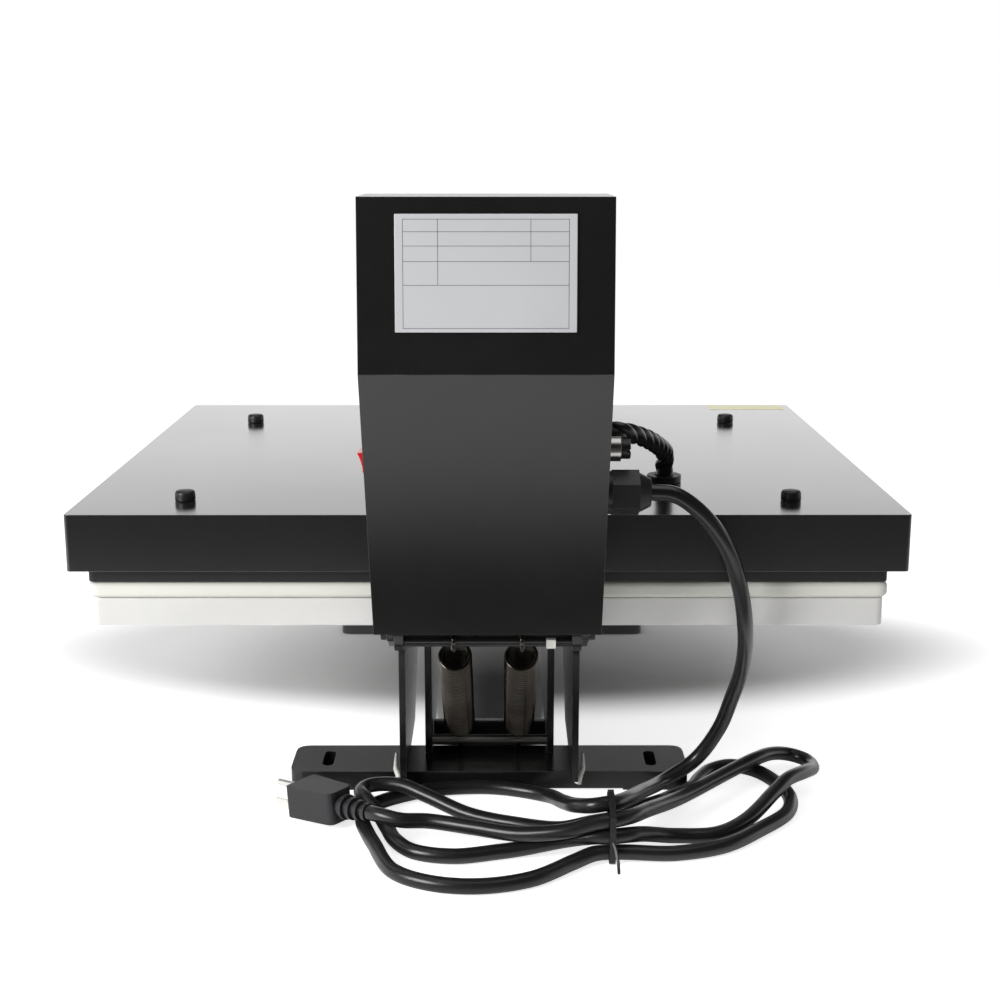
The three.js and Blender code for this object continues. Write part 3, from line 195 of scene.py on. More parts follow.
class Relief(Enum):
    """The kinds of fine relief that the press's surfaces carry."""

    ORANGE_PEEL = Grain(650.0)
    BRUSHED = Grain(260.0, 6.0, (0.06, 1.0, 1.0))
    CAST = Grain(900.0, 8.0)
    MOULDED = Grain(1500.0, 3.0)
    FOAM = Grain(700.0, randomness=1.0)
    FIBRE = Grain(400.0, 8.0, (1.0, 0.12, 1.0))
    BRAID = Grain(520.0, randomness=0.25)
    SMOOTH = Grain(120.0)


@dataclass(frozen=True)
class Finish:
    """A surface finish: its colour, its gloss, how both wander, and its fine relief."""

    name: str
    colour: Point
    roughness: float
    relief: Relief
    metallic: float = 0.0
    coat: float = 0.0
    coat_roughness: float = 0.25
    ior: float = 1.5
    drift: float = 0.12
    drift_scale: float = 14.0
    depth: float = 0.00005
    dust: float = 0.0

    def build(self) -> bpy.types.Material:
        """Makes the node-based material.

        Returns:
            The new material.
        """
        material = bpy.data.materials.new(self.name)
        graph = Graph(material, "Object")
        shader = graph.tree.nodes["Principled BSDF"]
        shader.inputs["Metallic"].default_value = self.metallic
        shader.inputs["IOR"].default_value = self.ior
        shader.inputs["Coat Weight"].default_value = self.coat
        shader.inputs["Coat Roughness"].default_value = self.coat_roughness
        low, high = (self.roughness * (1 + side * GLOSS_SPREAD) for side in (-1, 1))
        gloss = graph.wander(low, high, GLOSS_SCALE * self.drift_scale, 2.0)
        bump = {"Distance": self.depth, "Strength": 1.0, "Height": self._height(graph)}
        graph.feed(shader.inputs["Base Color"], self._colour(graph))
        graph.feed(shader.inputs["Roughness"], gloss)
        graph.feed(shader.inputs["Normal"], graph.add("ShaderNodeBump", bump, "Normal"))
        return material

    def _colour(self, graph: Graph) -> Socket:
        """Gives the colour its slow drift and its dust.

        Args:
            graph: The material's nodes.

        Returns:
            The colour's socket.
        """
        dark = (*(c * (1 - self.drift) for c in self.colour), 1)
        light = (*(min(1.0, c * (1 + self.drift)) for c in self.colour), 1)
        colour = graph.mix(graph.wander(0, 1, self.drift_scale, 6.0), dark, light, "RGBA")
        if self.dust:
            colour = graph.mix(graph.wander(0, self.dust, DUST_SCALE, 4.0), colour, DUST, "RGBA")
        return colour

    def _height(self, graph: Graph) -> Socket:
        """Adds the relief's height pattern.

        Args:
            graph: The material's nodes.

        Returns:
            The height's socket.
        """
        grain = self.relief.value
        if grain.randomness:
            cells = {"Vector": graph.place, "Scale": grain.scale, "Randomness": grain.randomness}
            return graph.add("ShaderNodeTexVoronoi", cells, "Distance")
        return graph.noise(grain.scale, grain.detail, grain.stretch)


class Palette:
    """All finishes of the press, each built once when it is first asked for."""

    FINISHES = (
        Finish("powder_black", (0.0078, 0.0075, 0.0073), 0.25, Relief.ORANGE_PEEL, coat=0.1, depth=0.000007,
               dust=0.003),
        Finish("cover_black", (0.0085, 0.0084, 0.0084), 0.22, Relief.ORANGE_PEEL, coat=0.78,
               coat_roughness=0.2, drift=0.06, drift_scale=5.0, depth=0.000001, dust=0.002),
        Finish("powder_edge", (0.03, 0.029, 0.028), 0.36, Relief.ORANGE_PEEL, coat=0.1, drift=0.5,
               drift_scale=60.0, depth=0.000007),
        Finish("cast_aluminium", (0.77, 0.765, 0.745), 0.45, Relief.BRUSHED, metallic=0.2, drift=0.045,
               depth=0.00001),
        Finish("aluminium_edge", (0.84, 0.84, 0.82), 0.35, Relief.SMOOTH, metallic=0.4, drift=0.1,
               drift_scale=50.0),
        Finish("black_platen", (0.012, 0.012, 0.012), 0.5, Relief.CAST, depth=0.00001, dust=0.006),
        Finish("silicone", (0.78, 0.78, 0.715), 0.62, Relief.CAST, drift=0.03, depth=0.00003, ior=1.42),
        Finish("steel", (0.5, 0.49, 0.47), 0.3, Relief.BRUSHED, metallic=1.0, depth=0.000004),
        Finish("spring_wire", (0.075, 0.066, 0.056), 0.2, Relief.SMOOTH, metallic=1.0, drift=0.3,
               drift_scale=25.0, depth=0.000004),
        Finish("black_plastic", (0.013, 0.013, 0.014), 0.42, Relief.MOULDED, depth=0.000008),
        Finish("plug_plastic", (0.018, 0.0175, 0.02), 0.46, Relief.MOULDED, depth=0.000012, drift=0.08),
        Finish("red_plastic", (0.62, 0.014, 0.016), 0.22, Relief.SMOOTH, coat=0.4, drift=0.05,
               depth=0.000004),
        Finish("silver_label", (0.62, 0.625, 0.64), 0.4, Relief.BRUSHED, metallic=0.15, drift=0.03,
               depth=0.000002),
        Finish("label_ink", (0.12, 0.12, 0.125), 0.5, Relief.SMOOTH, drift=0.15, depth=0.000002),
        Finish("yellow_film", (0.83, 0.78, 0.4), 0.35, Relief.SMOOTH, coat=0.3, drift=0.04, depth=0.000002),
        Finish("glass_fibre", (0.62, 0.57, 0.45), 0.85, Relief.FIBRE, depth=0.0002),
        Finish("board_green", (0.02, 0.13, 0.055), 0.3, Relief.SMOOTH, coat=0.5, drift=0.1),
        Finish("foam_black", (0.018, 0.018, 0.019), 0.85, Relief.FOAM, depth=0.00025),
        Finish("smoked_glass", (0.03, 0.006, 0.006), 0.07, Relief.SMOOTH, coat=1.0, depth=0.000002),
        Finish("cord_sheath", (0.013, 0.0128, 0.0138), 0.3, Relief.MOULDED, coat=0.12, depth=0.000008,
               drift=0.15),
        Finish("loom_sleeve", (0.011, 0.0108, 0.0108), 0.33, Relief.BRAID, coat=0.2, depth=0.00006, drift=0.3,
               drift_scale=90.0),
        # bright bare metal of the weld beads: partly the weld's own metal, partly a painted highlight
        # standing in for glints on the paint
        Finish("bare_metal_painted_highlight", (0.85, 0.84, 0.8), 0.5, Relief.CAST, metallic=0.15, drift_scale=200.0,
               depth=0.00012),
        Finish("nylon", (0.78, 0.77, 0.72), 0.5, Relief.SMOOTH, drift=0.04, depth=0.000004),
        Finish("bright_nickel", (0.92, 0.9, 0.86), 0.3, Relief.BRUSHED, metallic=1.0, drift=0.1,
               depth=0.000003),
    )

    def __init__(self) -> None:
        """Starts with no material built."""
        self._finishes = {finish.name: finish for finish in self.FINISHES}
        self._built: dict[str, bpy.types.Material] = {}

    def get(self, name: str) -> bpy.types.Material:
        """Gives a finish's material.

        Args:
            name: The finish's name.

        Returns:
            The material, built on first use.
        """
        if name not in self._built:
            self._built[name] = self._finishes[name].build()
        return self._built[name]


@dataclass
class Facing:
    """A flat place on the press, with its own across, up and out directions."""

    origin: Vector
    across: Vector
    up: Vector

    @property
    def out(self) -> Vector:
        """The direction that points away from the surface."""
        return self.across.cross(self.up)

    def place(self, across: float, up: float, out: float = 0.0) -> Vector:
        """Gives the point at these distances from the origin."""
        return self.origin + self.across * across + self.up * up + self.out * out

    def reach(self, mesh: bpy.types.Mesh) -> float:
        """Gives how far a mesh stands out from the place."""
        return max((vertex.co - self.origin).dot(self.out) for vertex in mesh.vertices)


class Bench:
    """The workbench: everyday steps that make, round, smooth and hand over pieces."""

    def __init__(self, frame: dict) -> None:
        """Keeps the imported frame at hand.
        """
        self.nodes = frame["nodes"]
        bodies = frame["record"]["behaviour"]["bodies"]
        self.body_of_node = {node: body for body, nodes in bodies.items() for node in nodes}
        self.slot_of_node = {row["node"]: row["material_slot"] for row in frame["record"]["subparts"]}
        self.palette = Palette()

    def clear(self) -> None:
        """Leaves edit mode and deselects everything."""
        if bpy.context.object and bpy.context.object.mode != "OBJECT":
            bpy.ops.object.mode_set(mode="OBJECT")
        bpy.ops.object.select_all(action="DESELECT")

    def pick(self, piece: Piece) -> None:
        """Makes one piece the only selected and active one."""
        self.clear()
        piece.select_set(True)
        bpy.context.view_layer.objects.active = piece

    def take(self, name: str) -> Piece:
        """Names the piece that an operator just added.

        Args:
            name: The piece's name.

        Returns:
            The active object.
        """
        piece = bpy.context.object
        piece.name = name
        piece.data.name = name
        return piece

    def settle(self, piece: Piece) -> None:
        """Applies a piece's place, turn and size to its mesh."""
        self.pick(piece)
        bpy.ops.object.transform_apply(location=True, rotation=True, scale=True)

    def bevel(self, piece: Piece, width: float, segments: int = 2, angle: float = SHARP_ANGLE,
              edge_slot: int = -1) -> None:
        """Rounds the piece's sharp edges and smooths it.

        Args:
            piece: The piece.
            width: The bevel's width in metres; with 0 it is only smoothed.
            segments: How many strips the bevel has.
            angle: The least angle in degrees that counts as sharp.
            edge_slot: The material slot of the new strips, or -1 for that of their neighbours.
        """
        if not width:
            self.smooth(piece, angle)
            return
        self.pick(piece)
        modifier = piece.modifiers.new("edges", "BEVEL")
        modifier.width = width
        modifier.segments = segments
        modifier.limit_method = "ANGLE"
        modifier.angle_limit = math.radians(angle)
        modifier.use_clamp_overlap = True
        modifier.miter_outer = "MITER_ARC"
        modifier.material = edge_slot
        bpy.ops.object.modifier_apply(modifier=modifier.name)
        self.smooth(piece, angle)
        weights = piece.modifiers.new("flats", "WEIGHTED_NORMAL")
        weights.keep_sharp = True
        weights.weight = 90
        bpy.ops.object.modifier_apply(modifier=weights.name)

    def smooth(self, piece: Piece, angle: float = SHARP_ANGLE) -> None:
        """Shades a piece smooth but for its sharp edges."""
        self.pick(piece)
        bpy.ops.object.shade_smooth_by_angle(angle=math.radians(angle))

    def finish(self, piece: Piece, body: str, finishes: Sequence[str],
               slot: str = "") -> Piece:
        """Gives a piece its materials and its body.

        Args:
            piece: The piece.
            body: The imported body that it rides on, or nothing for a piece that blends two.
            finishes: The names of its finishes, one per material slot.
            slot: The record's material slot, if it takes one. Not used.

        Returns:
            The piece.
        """
        piece.data.materials.clear()
        for name in finishes:
            piece.data.materials.append(self.palette.get(name))
        if body:
            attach(piece, body)
        return piece

    def refine(self, node: str, finish: str, edge: str = "", width: float = 0.0006, segments: int = 2,
               angle: float = SHARP_ANGLE) -> Piece:
        """Makes a rounded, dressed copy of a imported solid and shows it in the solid's place.

        Args:
            node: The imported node's name.
            finish: The finish of its faces.
            edge: The finish of its rounded edges, if it differs.
            width: The width of the rounded edges in metres.
            segments: How many strips the rounding has.
            angle: The least angle in degrees that counts as sharp.

        Returns:
            The new piece.
        """
        source = self.nodes[node]
        piece = bpy.data.objects.new(node + "_finished", source.data.copy())
        bpy.context.scene.collection.objects.link(piece)
        mesh = bmesh.new()
        mesh.from_mesh(piece.data)
        bmesh.ops.remove_doubles(mesh, verts=mesh.verts[:], dist=SAME_POINT)
        flat = math.radians(FLAT_ANGLE)
        bmesh.ops.dissolve_limit(mesh, angle_limit=flat, verts=mesh.verts[:], edges=mesh.edges[:])
        for face in mesh.faces:
            face.material_index = 0
        mesh.to_mesh(piece.data)
        mesh.free()
        finishes = [finish, edge] if edge else [finish]
        self.finish(piece, self.body_of_node[node], finishes, self.slot_of_node[node])
        self.bevel(piece, width, segments, angle, 1 if edge else -1)
        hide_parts(node)
        LOG.info("%s refined, %d faces", node, len(piece.data.polygons))
        return piece

    def turned(self, name: str, centre: Point, axis: Point, profile: Sequence[tuple[float, float]],
               sides: int = 64, width: float = 0.0004, bore: float = 0.0) -> Piece:
        """Turns a piece on the lathe: extrudes and resizes a disc from one step of the profile to the next.

        Args:
            name: The piece's name.
            centre: Where the axis starts.
            axis: The unit direction of the axis.
            profile: (distance along the axis, radius) pairs, the first being the starting face.
            sides: How many sides a ring has.
            width: The width of the rounded edges in metres.
            bore: The radius of a hole right through, or 0.

        Returns:
            The turned piece, without finish or body.
        """
        self.clear()
        line = Vector(axis).normalized()
        turn = Vector((0, 0, 1)).rotation_difference(line).to_euler()
        start = Vector(centre) + line * profile[0][0]
        bpy.ops.mesh.primitive_circle_add(vertices=sides, radius=profile[0][1], fill_type="NGON",
                                          location=start, rotation=turn)
        piece = self.take(name)
        self.settle(piece)
        bpy.ops.object.mode_set(mode="EDIT")
        bpy.ops.mesh.select_all(action="SELECT")
        for (before, radius_before), (after, radius_after) in zip(profile, profile[1:]):
            step = line * (after - before)
            bpy.ops.mesh.extrude_region_move(TRANSFORM_OT_translate={"value": step, "orient_type": "GLOBAL"})
            size = radius_after / radius_before
            ring = tuple(Vector(centre) + line * after)
            bpy.ops.transform.resize(value=(size, size, size), center_override=ring)
        bpy.ops.mesh.select_all(action="SELECT")
        bpy.ops.mesh.normals_make_consistent(inside=False)
        bpy.ops.object.mode_set(mode="OBJECT")
        if bore:
            self.drill(piece, centre, line, bore, profile)
        self.bevel(piece, width)
        return piece

    def drill(self, piece: Piece, centre: Point, line: Vector, radius: float,
              profile: Sequence[tuple[float, float]]) -> None:
        """Drills a hole right through a turned piece along its axis.

        Args:
            piece: The piece.
            centre: Where the axis starts.
            line: The unit direction of the axis.
            radius: The hole's radius.
            profile: The piece's profile, for its length.
        """
        ends = [distance for distance, _ in profile]
        middle = Vector(centre) + line * ((min(ends) + max(ends)) / 2)
        turn = Vector((0, 0, 1)).rotation_difference(line).to_euler()
        self.clear()
        depth = max(ends) - min(ends) + DRILL_SPARE
        bpy.ops.mesh.primitive_cylinder_add(vertices=48, radius=radius, depth=depth, location=middle,
                                            rotation=turn)
        drill = self.take("drill")
        self.pick(piece)
        modifier = piece.modifiers.new("bore", "BOOLEAN")
        modifier.operation = "DIFFERENCE"
        modifier.object = drill
        bpy.ops.object.modifier_apply(modifier=modifier.name)
        bpy.data.objects.remove(drill, do_unlink=True)

    def round_corners(self, piece: Piece, radius: float) -> None:
        """Rounds a flat piece's upright edges.

        Args:
            piece: The piece, at its place.
            radius: The corners' radius.
        """
        self.pick(piece)
        bpy.ops.object.mode_set(mode="EDIT")
        bpy.ops.mesh.select_all(action="DESELECT")
        mesh = bmesh.from_edit_mesh(piece.data)
        for edge in mesh.edges:
            low, high = (corner.co for corner in edge.verts)
            edge.select_set(abs((high - low).normalized().z) > SAME_WAY)
        mesh.select_flush_mode()
        bmesh.update_edit_mesh(piece.data)
        bpy.ops.mesh.bevel(offset=radius, segments=6, affect="EDGES")
        bpy.ops.object.mode_set(mode="OBJECT")

    def dish(self, piece: Piece, facing: Vector, inset: float, depth: float) -> None:
        """Sinks the middle of the face that looks one way.

        Args:
            piece: The piece, at its place.
            facing: The way that the face looks.
            inset: How wide the rim is that stays.
            depth: How deep the middle goes in.
        """
        self.pick(piece)
        bpy.ops.object.mode_set(mode="EDIT")
        bpy.ops.mesh.select_mode(type="FACE")
        bpy.ops.mesh.select_all(action="DESELECT")
        mesh = bmesh.from_edit_mesh(piece.data)
        for face in mesh.faces:
            face.select_set(face.normal.dot(facing) > SAME_WAY)
        bmesh.update_edit_mesh(piece.data)
        bpy.ops.mesh.inset(thickness=inset, depth=-depth)
        bpy.ops.object.mode_set(mode="OBJECT")

    def tube(self, name: str, points: Sequence[Vector], radius: float, sides: int = 14,
             radii: Sequence[float] = ()) -> Piece:
        """Sweeps a round section along a line, as one closed mesh.

        Args:
            name: The piece's name.
            points: The centre line, in metres.
            radius: The section's radius.
            sides: How many sides it has.
            radii: The radius at each point, where it changes.

        Returns:
            The tube, without finish or body.
        """
        mesh = bmesh.new()
        last = len(points) - 1
        steps = [points[min(i + 1, last)] - points[max(i - 1, 0)] for i in range(len(points))]
        tangents = [step.normalized() for step in steps]
        reference = Vector((0, 0, 1)) if abs(tangents[0].z) < 0.7 else Vector((1, 0, 0))
        side = tangents[0].cross(reference)
        rings = []
        for index, (point, tangent) in enumerate(zip(points, tangents)):
            side = (side - tangent * side.dot(tangent)).normalized()
            other = tangent.cross(side)
            reach = radii[index] if radii else radius
            ring = []
            for step in range(sides):
                angle = 2 * math.pi * step / sides
                spoke = side * math.cos(angle) + other * math.sin(angle)
                ring.append(mesh.verts.new(point + spoke * reach))
            rings.append(ring)
        for low, high in zip(rings, rings[1:]):
            for step in range(sides):
                after = (step + 1) % sides
                mesh.faces.new((low[step], low[after], high[after], high[step]))
        mesh.faces.new(list(reversed(rings[0])))
        mesh.faces.new(rings[-1])
        data = bpy.data.meshes.new(name)
        mesh.to_mesh(data)
        mesh.free()
        piece = bpy.data.objects.new(name, data)
        bpy.context.scene.collection.objects.link(piece)
        self.smooth(piece, TUBE_ANGLE)
        return piece

    def strips(self, name: str, facing: Facing, rows: Sequence[tuple[float, float, float, float]],
               out: float, width: float, rise: float) -> Piece:
        """Lays thin flat strips on a flat place.

        Args:
            name: The piece's name.
            facing: The flat place.
            rows: (across from, across to, up from, up to) of each strip's centre line.
            out: How far out from the place the strips lie.
            width: Their width.
            rise: Their thickness.

        Returns:
            The strips as one piece, without finish or body.
        """
        self.clear()
        mesh = bmesh.new()
        half = width / 2
        for left, right, low, high in rows:
            low, high = low - half, high + half
            left, right = left - half, right + half
            corners = ((left, low), (right, low), (right, high), (left, high))
            mesh.faces.new([mesh.verts.new(facing.place(across, up, out)) for across, up in corners])
        data = bpy.data.meshes.new(name)
        mesh.to_mesh(data)
        mesh.free()
        piece = bpy.data.objects.new(name, data)
        bpy.context.scene.collection.objects.link(piece)
        self.pick(piece)
        bpy.ops.object.mode_set(mode="EDIT")
        bpy.ops.mesh.select_all(action="SELECT")
        step = facing.out * rise
        bpy.ops.mesh.extrude_region_move(TRANSFORM_OT_translate={"value": step, "orient_type": "GLOBAL"})
        bpy.ops.mesh.select_all(action="SELECT")
        bpy.ops.mesh.normals_make_consistent(inside=False)
        bpy.ops.object.mode_set(mode="OBJECT")
        return piece


def smooth_route(route: Sequence[Point], spacing: float) -> list[Vector]:
    """Draws a centripetal curve through a route's points.

    Args:
        route: The points, in metres.
        spacing: About how far apart the curve's points are.

    Returns:
        The curve's points.
    """
    given = [Vector(point) for point in route]
    line = [given[0] * 2 - given[1], *given, given[-1] * 2 - given[-2]]
    points: list[Vector] = []
    for i in range(1, len(line) - 2):
        p0, p1, p2, p3 = line[i - 1:i + 3]
        d0, d1, d2 = (max(math.sqrt((b - a).length), 1e-4) for a, b in ((p0, p1), (p1, p2), (p2, p3)))
        t1 = ((p1 - p0) / d0 - (p2 - p0) / (d0 + d1) + (p2 - p1) / d1) * d1
        t2 = ((p2 - p1) / d1 - (p3 - p1) / (d1 + d2) + (p3 - p2) / d2) * d1
        steps = max(2, round((p2 - p1).length / spacing))
        for k in range(steps):
            t = k / steps
            cubic = (p1 * 2 - p2 * 2 + t1 + t2) * t ** 3
            points.append(p1 + t1 * t + (p2 * 3 - p1 * 3 - t1 * 2 - t2) * t ** 2 + cubic)
    points.append(given[-1])
    return points


@dataclass
class BaseFrame:
    """The welded base: feet, rails, cheeks, cross plate, the pins and the lower platen with its pad."""

    plate_edge: float = 0.9 * MM
    platen_edge: float = 0.8 * MM
    pad_edge: float = 3.2 * MM
    rod_radius: float = 4 * MM
    pin_radius: float = 6 * MM
    hinge: tuple[float, float] = (0.235, 0.166)
    spring_rod: tuple[float, float] = (0.078, 0.022)
    bead_radius: float = 2.7 * MM
    weld_step: float = 0.8 * MM
    weld_route: tuple[Point, ...] = (
        (0.0683, 0.086, 0.0143), (0.0672, 0.106, 0.0147), (0.0662, 0.1175, 0.0145), (0.0648, 0.1202, 0.0125),
        (0.0628, 0.1204, 0.006))
    weld_start: float = 0.22
    weld_growth: float = 0.5
    weld_toe: float = 0.28
    weld_ripple: float = 0.06
    weld_ripples: int = 13

    def build(self, bench: Bench) -> None:
        """Makes all pieces of the base.

        Args:
            bench: The workbench.
        """
        for node in ("rear_foot", "front_foot"):
            bench.refine(node, "powder_black", "powder_edge", self.plate_edge, 3)
        for node in ("rail_left", "rail_right", "cheek_left", "cheek_right", "frame_cross_plate",
                     "platen_support"):
            bench.refine(node, "powder_black", "powder_edge", 0.7 * self.plate_edge)
        bench.refine("lower_platen", "cast_aluminium", "aluminium_edge", self.platen_edge, 3)
        pad = bench.refine("silicone_pad", "silicone", "", self.pad_edge, 5)
        self._rod(bench, "hinge_pin", self.hinge, self.pin_radius)
        self._rod(bench, "spring_rod", self.spring_rod, self.rod_radius)
        self._welds_with_painted_highlight(bench)

    def _rod(self, bench: Bench, node: str, place: tuple[float, float], radius: float) -> None:
        """Turns a bright rod with chamfered ends.

        Args:
            bench: The workbench.
            node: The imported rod's name.
            place: The (y, z) of its axis.
            radius: Its radius.
        """
        low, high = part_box(node)
        length = high[0] - low[0]
        chamfer = 0.15 * radius
        inner = radius - chamfer
        profile = [(0, inner), (chamfer, radius), (length - chamfer, radius), (length, inner)]
        rod = bench.turned(node + "_turned", (low[0], *place), (1, 0, 0), profile, 40, 0)
        bench.finish(rod, "base", ["steel"], "steel")
        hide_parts(node)

    def _welds_with_painted_highlight(self, bench: Bench) -> None:
        """Lays the bare weld that runs beside each cheek over the rear foot's top and down its rear face. The
        bead is partly real weld, and its bright bare-metal colour is partly a painted highlight that stands
        in for glints on the paint.

        Args:
            bench: The workbench.
        """
        for side, name in ((1, "left"), (-1, "right")):
            line = smooth_route([(side * x, y, z) for x, y, z in self.weld_route], self.weld_step)
            radii = []
            for index in range(len(line)):
                share = index / (len(line) - 1)
                ripple = self.weld_ripple * math.sin(2 * math.pi * self.weld_ripples * share)
                size = self.weld_start + self.weld_growth * share + self.weld_toe * share ** 6 + ripple
                radii.append(self.bead_radius * size)
            bead = bench.tube(f"weld_painted_highlight_{name}", line, self.bead_radius, 14, radii)
            bench.finish(bead, "base", ["bare_metal_painted_highlight"], "steel")


@dataclass
class LiftSprings:
    """The two dark extension springs with their wire hooks."""

    spread: float = 21 * MM
    radius: float = 9.3 * MM
    wire: float = 3.2 * MM
    pitch: float = 3.75 * MM
    low: Point = (0.0, 0.078, 0.022)
    high: Point = (0.0, 0.235, 0.149)
    rod_radius: float = 4 * MM
    seat: float = 0.3 * MM
    start_share: float = 0.2
    end_share: float = 0.87
    hook_turns: float = 0.575
    steps: int = 22
    hook_steps: int = 12
    phase: float = math.pi / 7
    spacing: float = 0.0022

    def build(self, bench: Bench) -> None:
        """Winds both springs.

        Args:
            bench: The workbench.
        """
        for x, name in ((self.spread, "left"), (-self.spread, "right")):
            spring = bench.tube(f"lift_spring_{name}", self.line(x), self.wire / 2, 12)
            bench.finish(spring, "", ["spring_wire"], "spring_steel")
            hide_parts(f"spring_{name}")
            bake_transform(spring)
            LOG.info("lift_spring_%s wound", name)

    def line(self, x: float) -> list[Vector]:
        """Gives the wire's centre line.

        Args:
            x: How far to the side the spring hangs.

        Returns:
            The line's points, from the low hook to the high one.
        """
        low = Vector((x, *self.low[1:]))
        high = Vector((x, *self.high[1:]))
        length = (high - low).length
        up = (high - low).normalized()
        side = Vector((1, 0, 0))
        out = side.cross(up)
        hook = self.rod_radius + self.seat + self.wire / 2
        sweep = 2 * math.pi * self.hook_turns
        start = length * self.start_share
        turns = round((length * self.end_share - start) / self.pitch)
        top = start + self.pitch * turns
        route = []
        for step in range(self.hook_steps + 1):
            angle = -sweep * (1 - step / self.hook_steps)
            route.append(low + out * (hook * math.cos(angle)) + up * (hook * math.sin(angle)))
        route.append(low + out * ((hook + self.radius) / 2) + up * (start / 2))
        route.append(low + out * self.radius + up * (start - self.wire))
        for step in range(turns * self.steps + 1):
            angle = 2 * math.pi * step / self.steps + self.phase
            around = side * (self.radius * math.sin(angle)) + out * (self.radius * math.cos(angle))
            route.append(low + around + up * (start + self.pitch * step / self.steps))
        route.append(low + out * self.radius + up * (top + 1.5 * self.wire))
        route.append(low + out * ((hook + self.radius) / 2) + up * ((top + length) / 2))
        for step in range(self.hook_steps + 1):
            angle = sweep * step / self.hook_steps
            route.append(low + out * (hook * math.cos(angle)) + up * (length + hook * math.sin(angle)))
        return smooth_route([tuple(point) for point in route], self.spacing)


@dataclass
class UpperArm:
    """The arm plates with their bushes, the spring bar, the threaded block and the handle's cross pin."""

    edge: float = 0.6 * MM
    hinge: tuple[float, float] = (0.235, 0.166)
    pin_radius: float = 6.15 * MM
    bush_wall: float = 3 * MM

    def build(self, bench: Bench) -> None:
        """Makes all pieces of the arm.

        Args:
            bench: The workbench.
        """
        for node in ("arm_left", "arm_right", "nut_block"):
            bench.refine(node, "powder_black", "powder_edge", self.edge)
        bench.refine("spring_bar", "powder_black", "powder_edge", 0.4 * MM)
        bench.refine("handle_pin", "steel", "", 0.4 * MM)
        for side in ("left", "right"):
            node = f"hinge_bush_{side}"
            low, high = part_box(node)
            outer = self.pin_radius + self.bush_wall
            profile = [(0, outer), (high[0] - low[0], outer)]
            bush = bench.turned(node + "_turned", (low[0], *self.hinge), (1, 0, 0), profile, 48, 0.3 * MM,
                                self.pin_radius)
            bench.finish(bush, "upper_arm", ["bright_nickel"], bench.slot_of_node[node])
            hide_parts(node)


@dataclass
class ControlBox:
    """The bent sheet box with its front panel, display, buttons, board, relay and the blank data plate."""

    sheet_edge: float = 0.45 * MM
    fold_angle: float = 8.0
    fold: tuple[float, float] = (0.327, 0.3265)
    top: tuple[float, float] = (0.318, 0.4195)
    plate_up: float = 22.5 * MM
    plate_width: float = 96.5 * MM
    plate_height: float = 62 * MM
    rule_width: float = 0.28 * MM
    rule_rise: float = 0.05 * MM
    rule_inset: float = 0.045
    rules_across: tuple[float, ...] = (0.045, 0.15, 0.27, 0.4, 0.6, 0.965)
    rules_up: tuple[tuple[float, float, float], ...] = (
        (0.045, 0.045, 0.965), (0.236, 0.045, 0.6), (0.745, 0.045, 0.4), (0.955, 0.045, 0.965))

    def build(self, bench: Bench) -> None:
        """Makes all pieces of the box.

        Args:
            bench: The workbench.
        """
        bench.refine("box_shell", "powder_black", "powder_edge", self.sheet_edge, 3, self.fold_angle)
        bench.refine("control_panel", "silver_label", "", 0.4 * MM)
        bench.refine("display_window", "smoked_glass", "", 0.5 * MM, 3)
        for node in ("button_down", "button_set", "button_up"):
            bench.refine(node, "red_plastic" if node == "button_set" else "black_plastic", "", 0.5 * MM, 3)
        bench.refine("circuit_board", "board_green", "", 0.1 * MM)
        bench.refine("relay", "black_plastic", "", 0.8 * MM)
        self._plate(bench)

    def _plate(self, bench: Bench) -> None:
        """Makes the blank data plate with its printed border and empty table.

        Args:
            bench: The workbench.
        """
        plate = bench.refine("data_plate", "silver_label", "", 0.3 * MM, 3)
        fold = Vector((0, *self.fold))
        up = (Vector((0, *self.top)) - fold).normalized()
        back = Facing(fold, Vector((-1, 0, 0)), up)
        out = back.reach(plate.data)
        half = self.plate_width / 2
        reach = half - self.rule_inset * self.plate_width
        strips = []
        for share in self.rules_across:
            height = self.plate_up + self.plate_height * (1 - share)
            strips.append((-reach, reach, height, height))
        for share, start, end in self.rules_up:
            across = -half + share * self.plate_width
            low = self.plate_up + self.plate_height * (1 - end)
            high = self.plate_up + self.plate_height * (1 - start)
            strips.append((across, across, low, high))
        rules = bench.strips("data_plate_rules", back, strips, out, self.rule_width, self.rule_rise)
        bench.finish(rules, "upper_arm", ["label_ink"], "silver_label")


@dataclass
class Details:
    """Small things on larger ones: the blank yellow film on the cover, the nylon stop on the spring bar."""

    film: tuple[float, float, float, float] = (-0.253, -0.189, -0.1945, -0.171)
    film_rise: float = 0.12 * MM
    film_round: float = 1.5 * MM
    stop: Point = (-0.0387, 0.2412, 0.149)
    stop_size: Point = (0.0058, 0.0048, 0.0056)
    stop_inset: float = 1 * MM
    stop_depth: float = 0.8 * MM
    stop_edge: float = 0.45 * MM

    def build(self, bench: Bench) -> None:
        """Makes the film and the stop.

        Args:
            bench: The workbench.
        """
        left, right, front, rear = self.film
        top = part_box("cover")[1][2]
        bench.clear()
        bpy.ops.mesh.primitive_cube_add(size=1, location=((left + right) / 2, (front + rear) / 2, top))
        film = bench.take("cover_film")
        bpy.ops.transform.resize(value=(right - left, rear - front, 2 * self.film_rise))
        bench.settle(film)
        bench.round_corners(film, self.film_round)
        bench.bevel(film, self.film_rise / 3, 2)
        bench.finish(film, "press_head", ["yellow_film"], "silver_label")
        bench.clear()
        bpy.ops.mesh.primitive_cube_add(size=1, location=self.stop)
        stop = bench.take("spring_bar_stop")
        bpy.ops.transform.resize(value=self.stop_size)
        bench.settle(stop)
        bench.dish(stop, Vector((0, 1, 0)), self.stop_inset, self.stop_depth)
        bench.bevel(stop, self.stop_edge, 3)
        bench.finish(stop, "upper_arm", ["nylon"], "black_plastic")


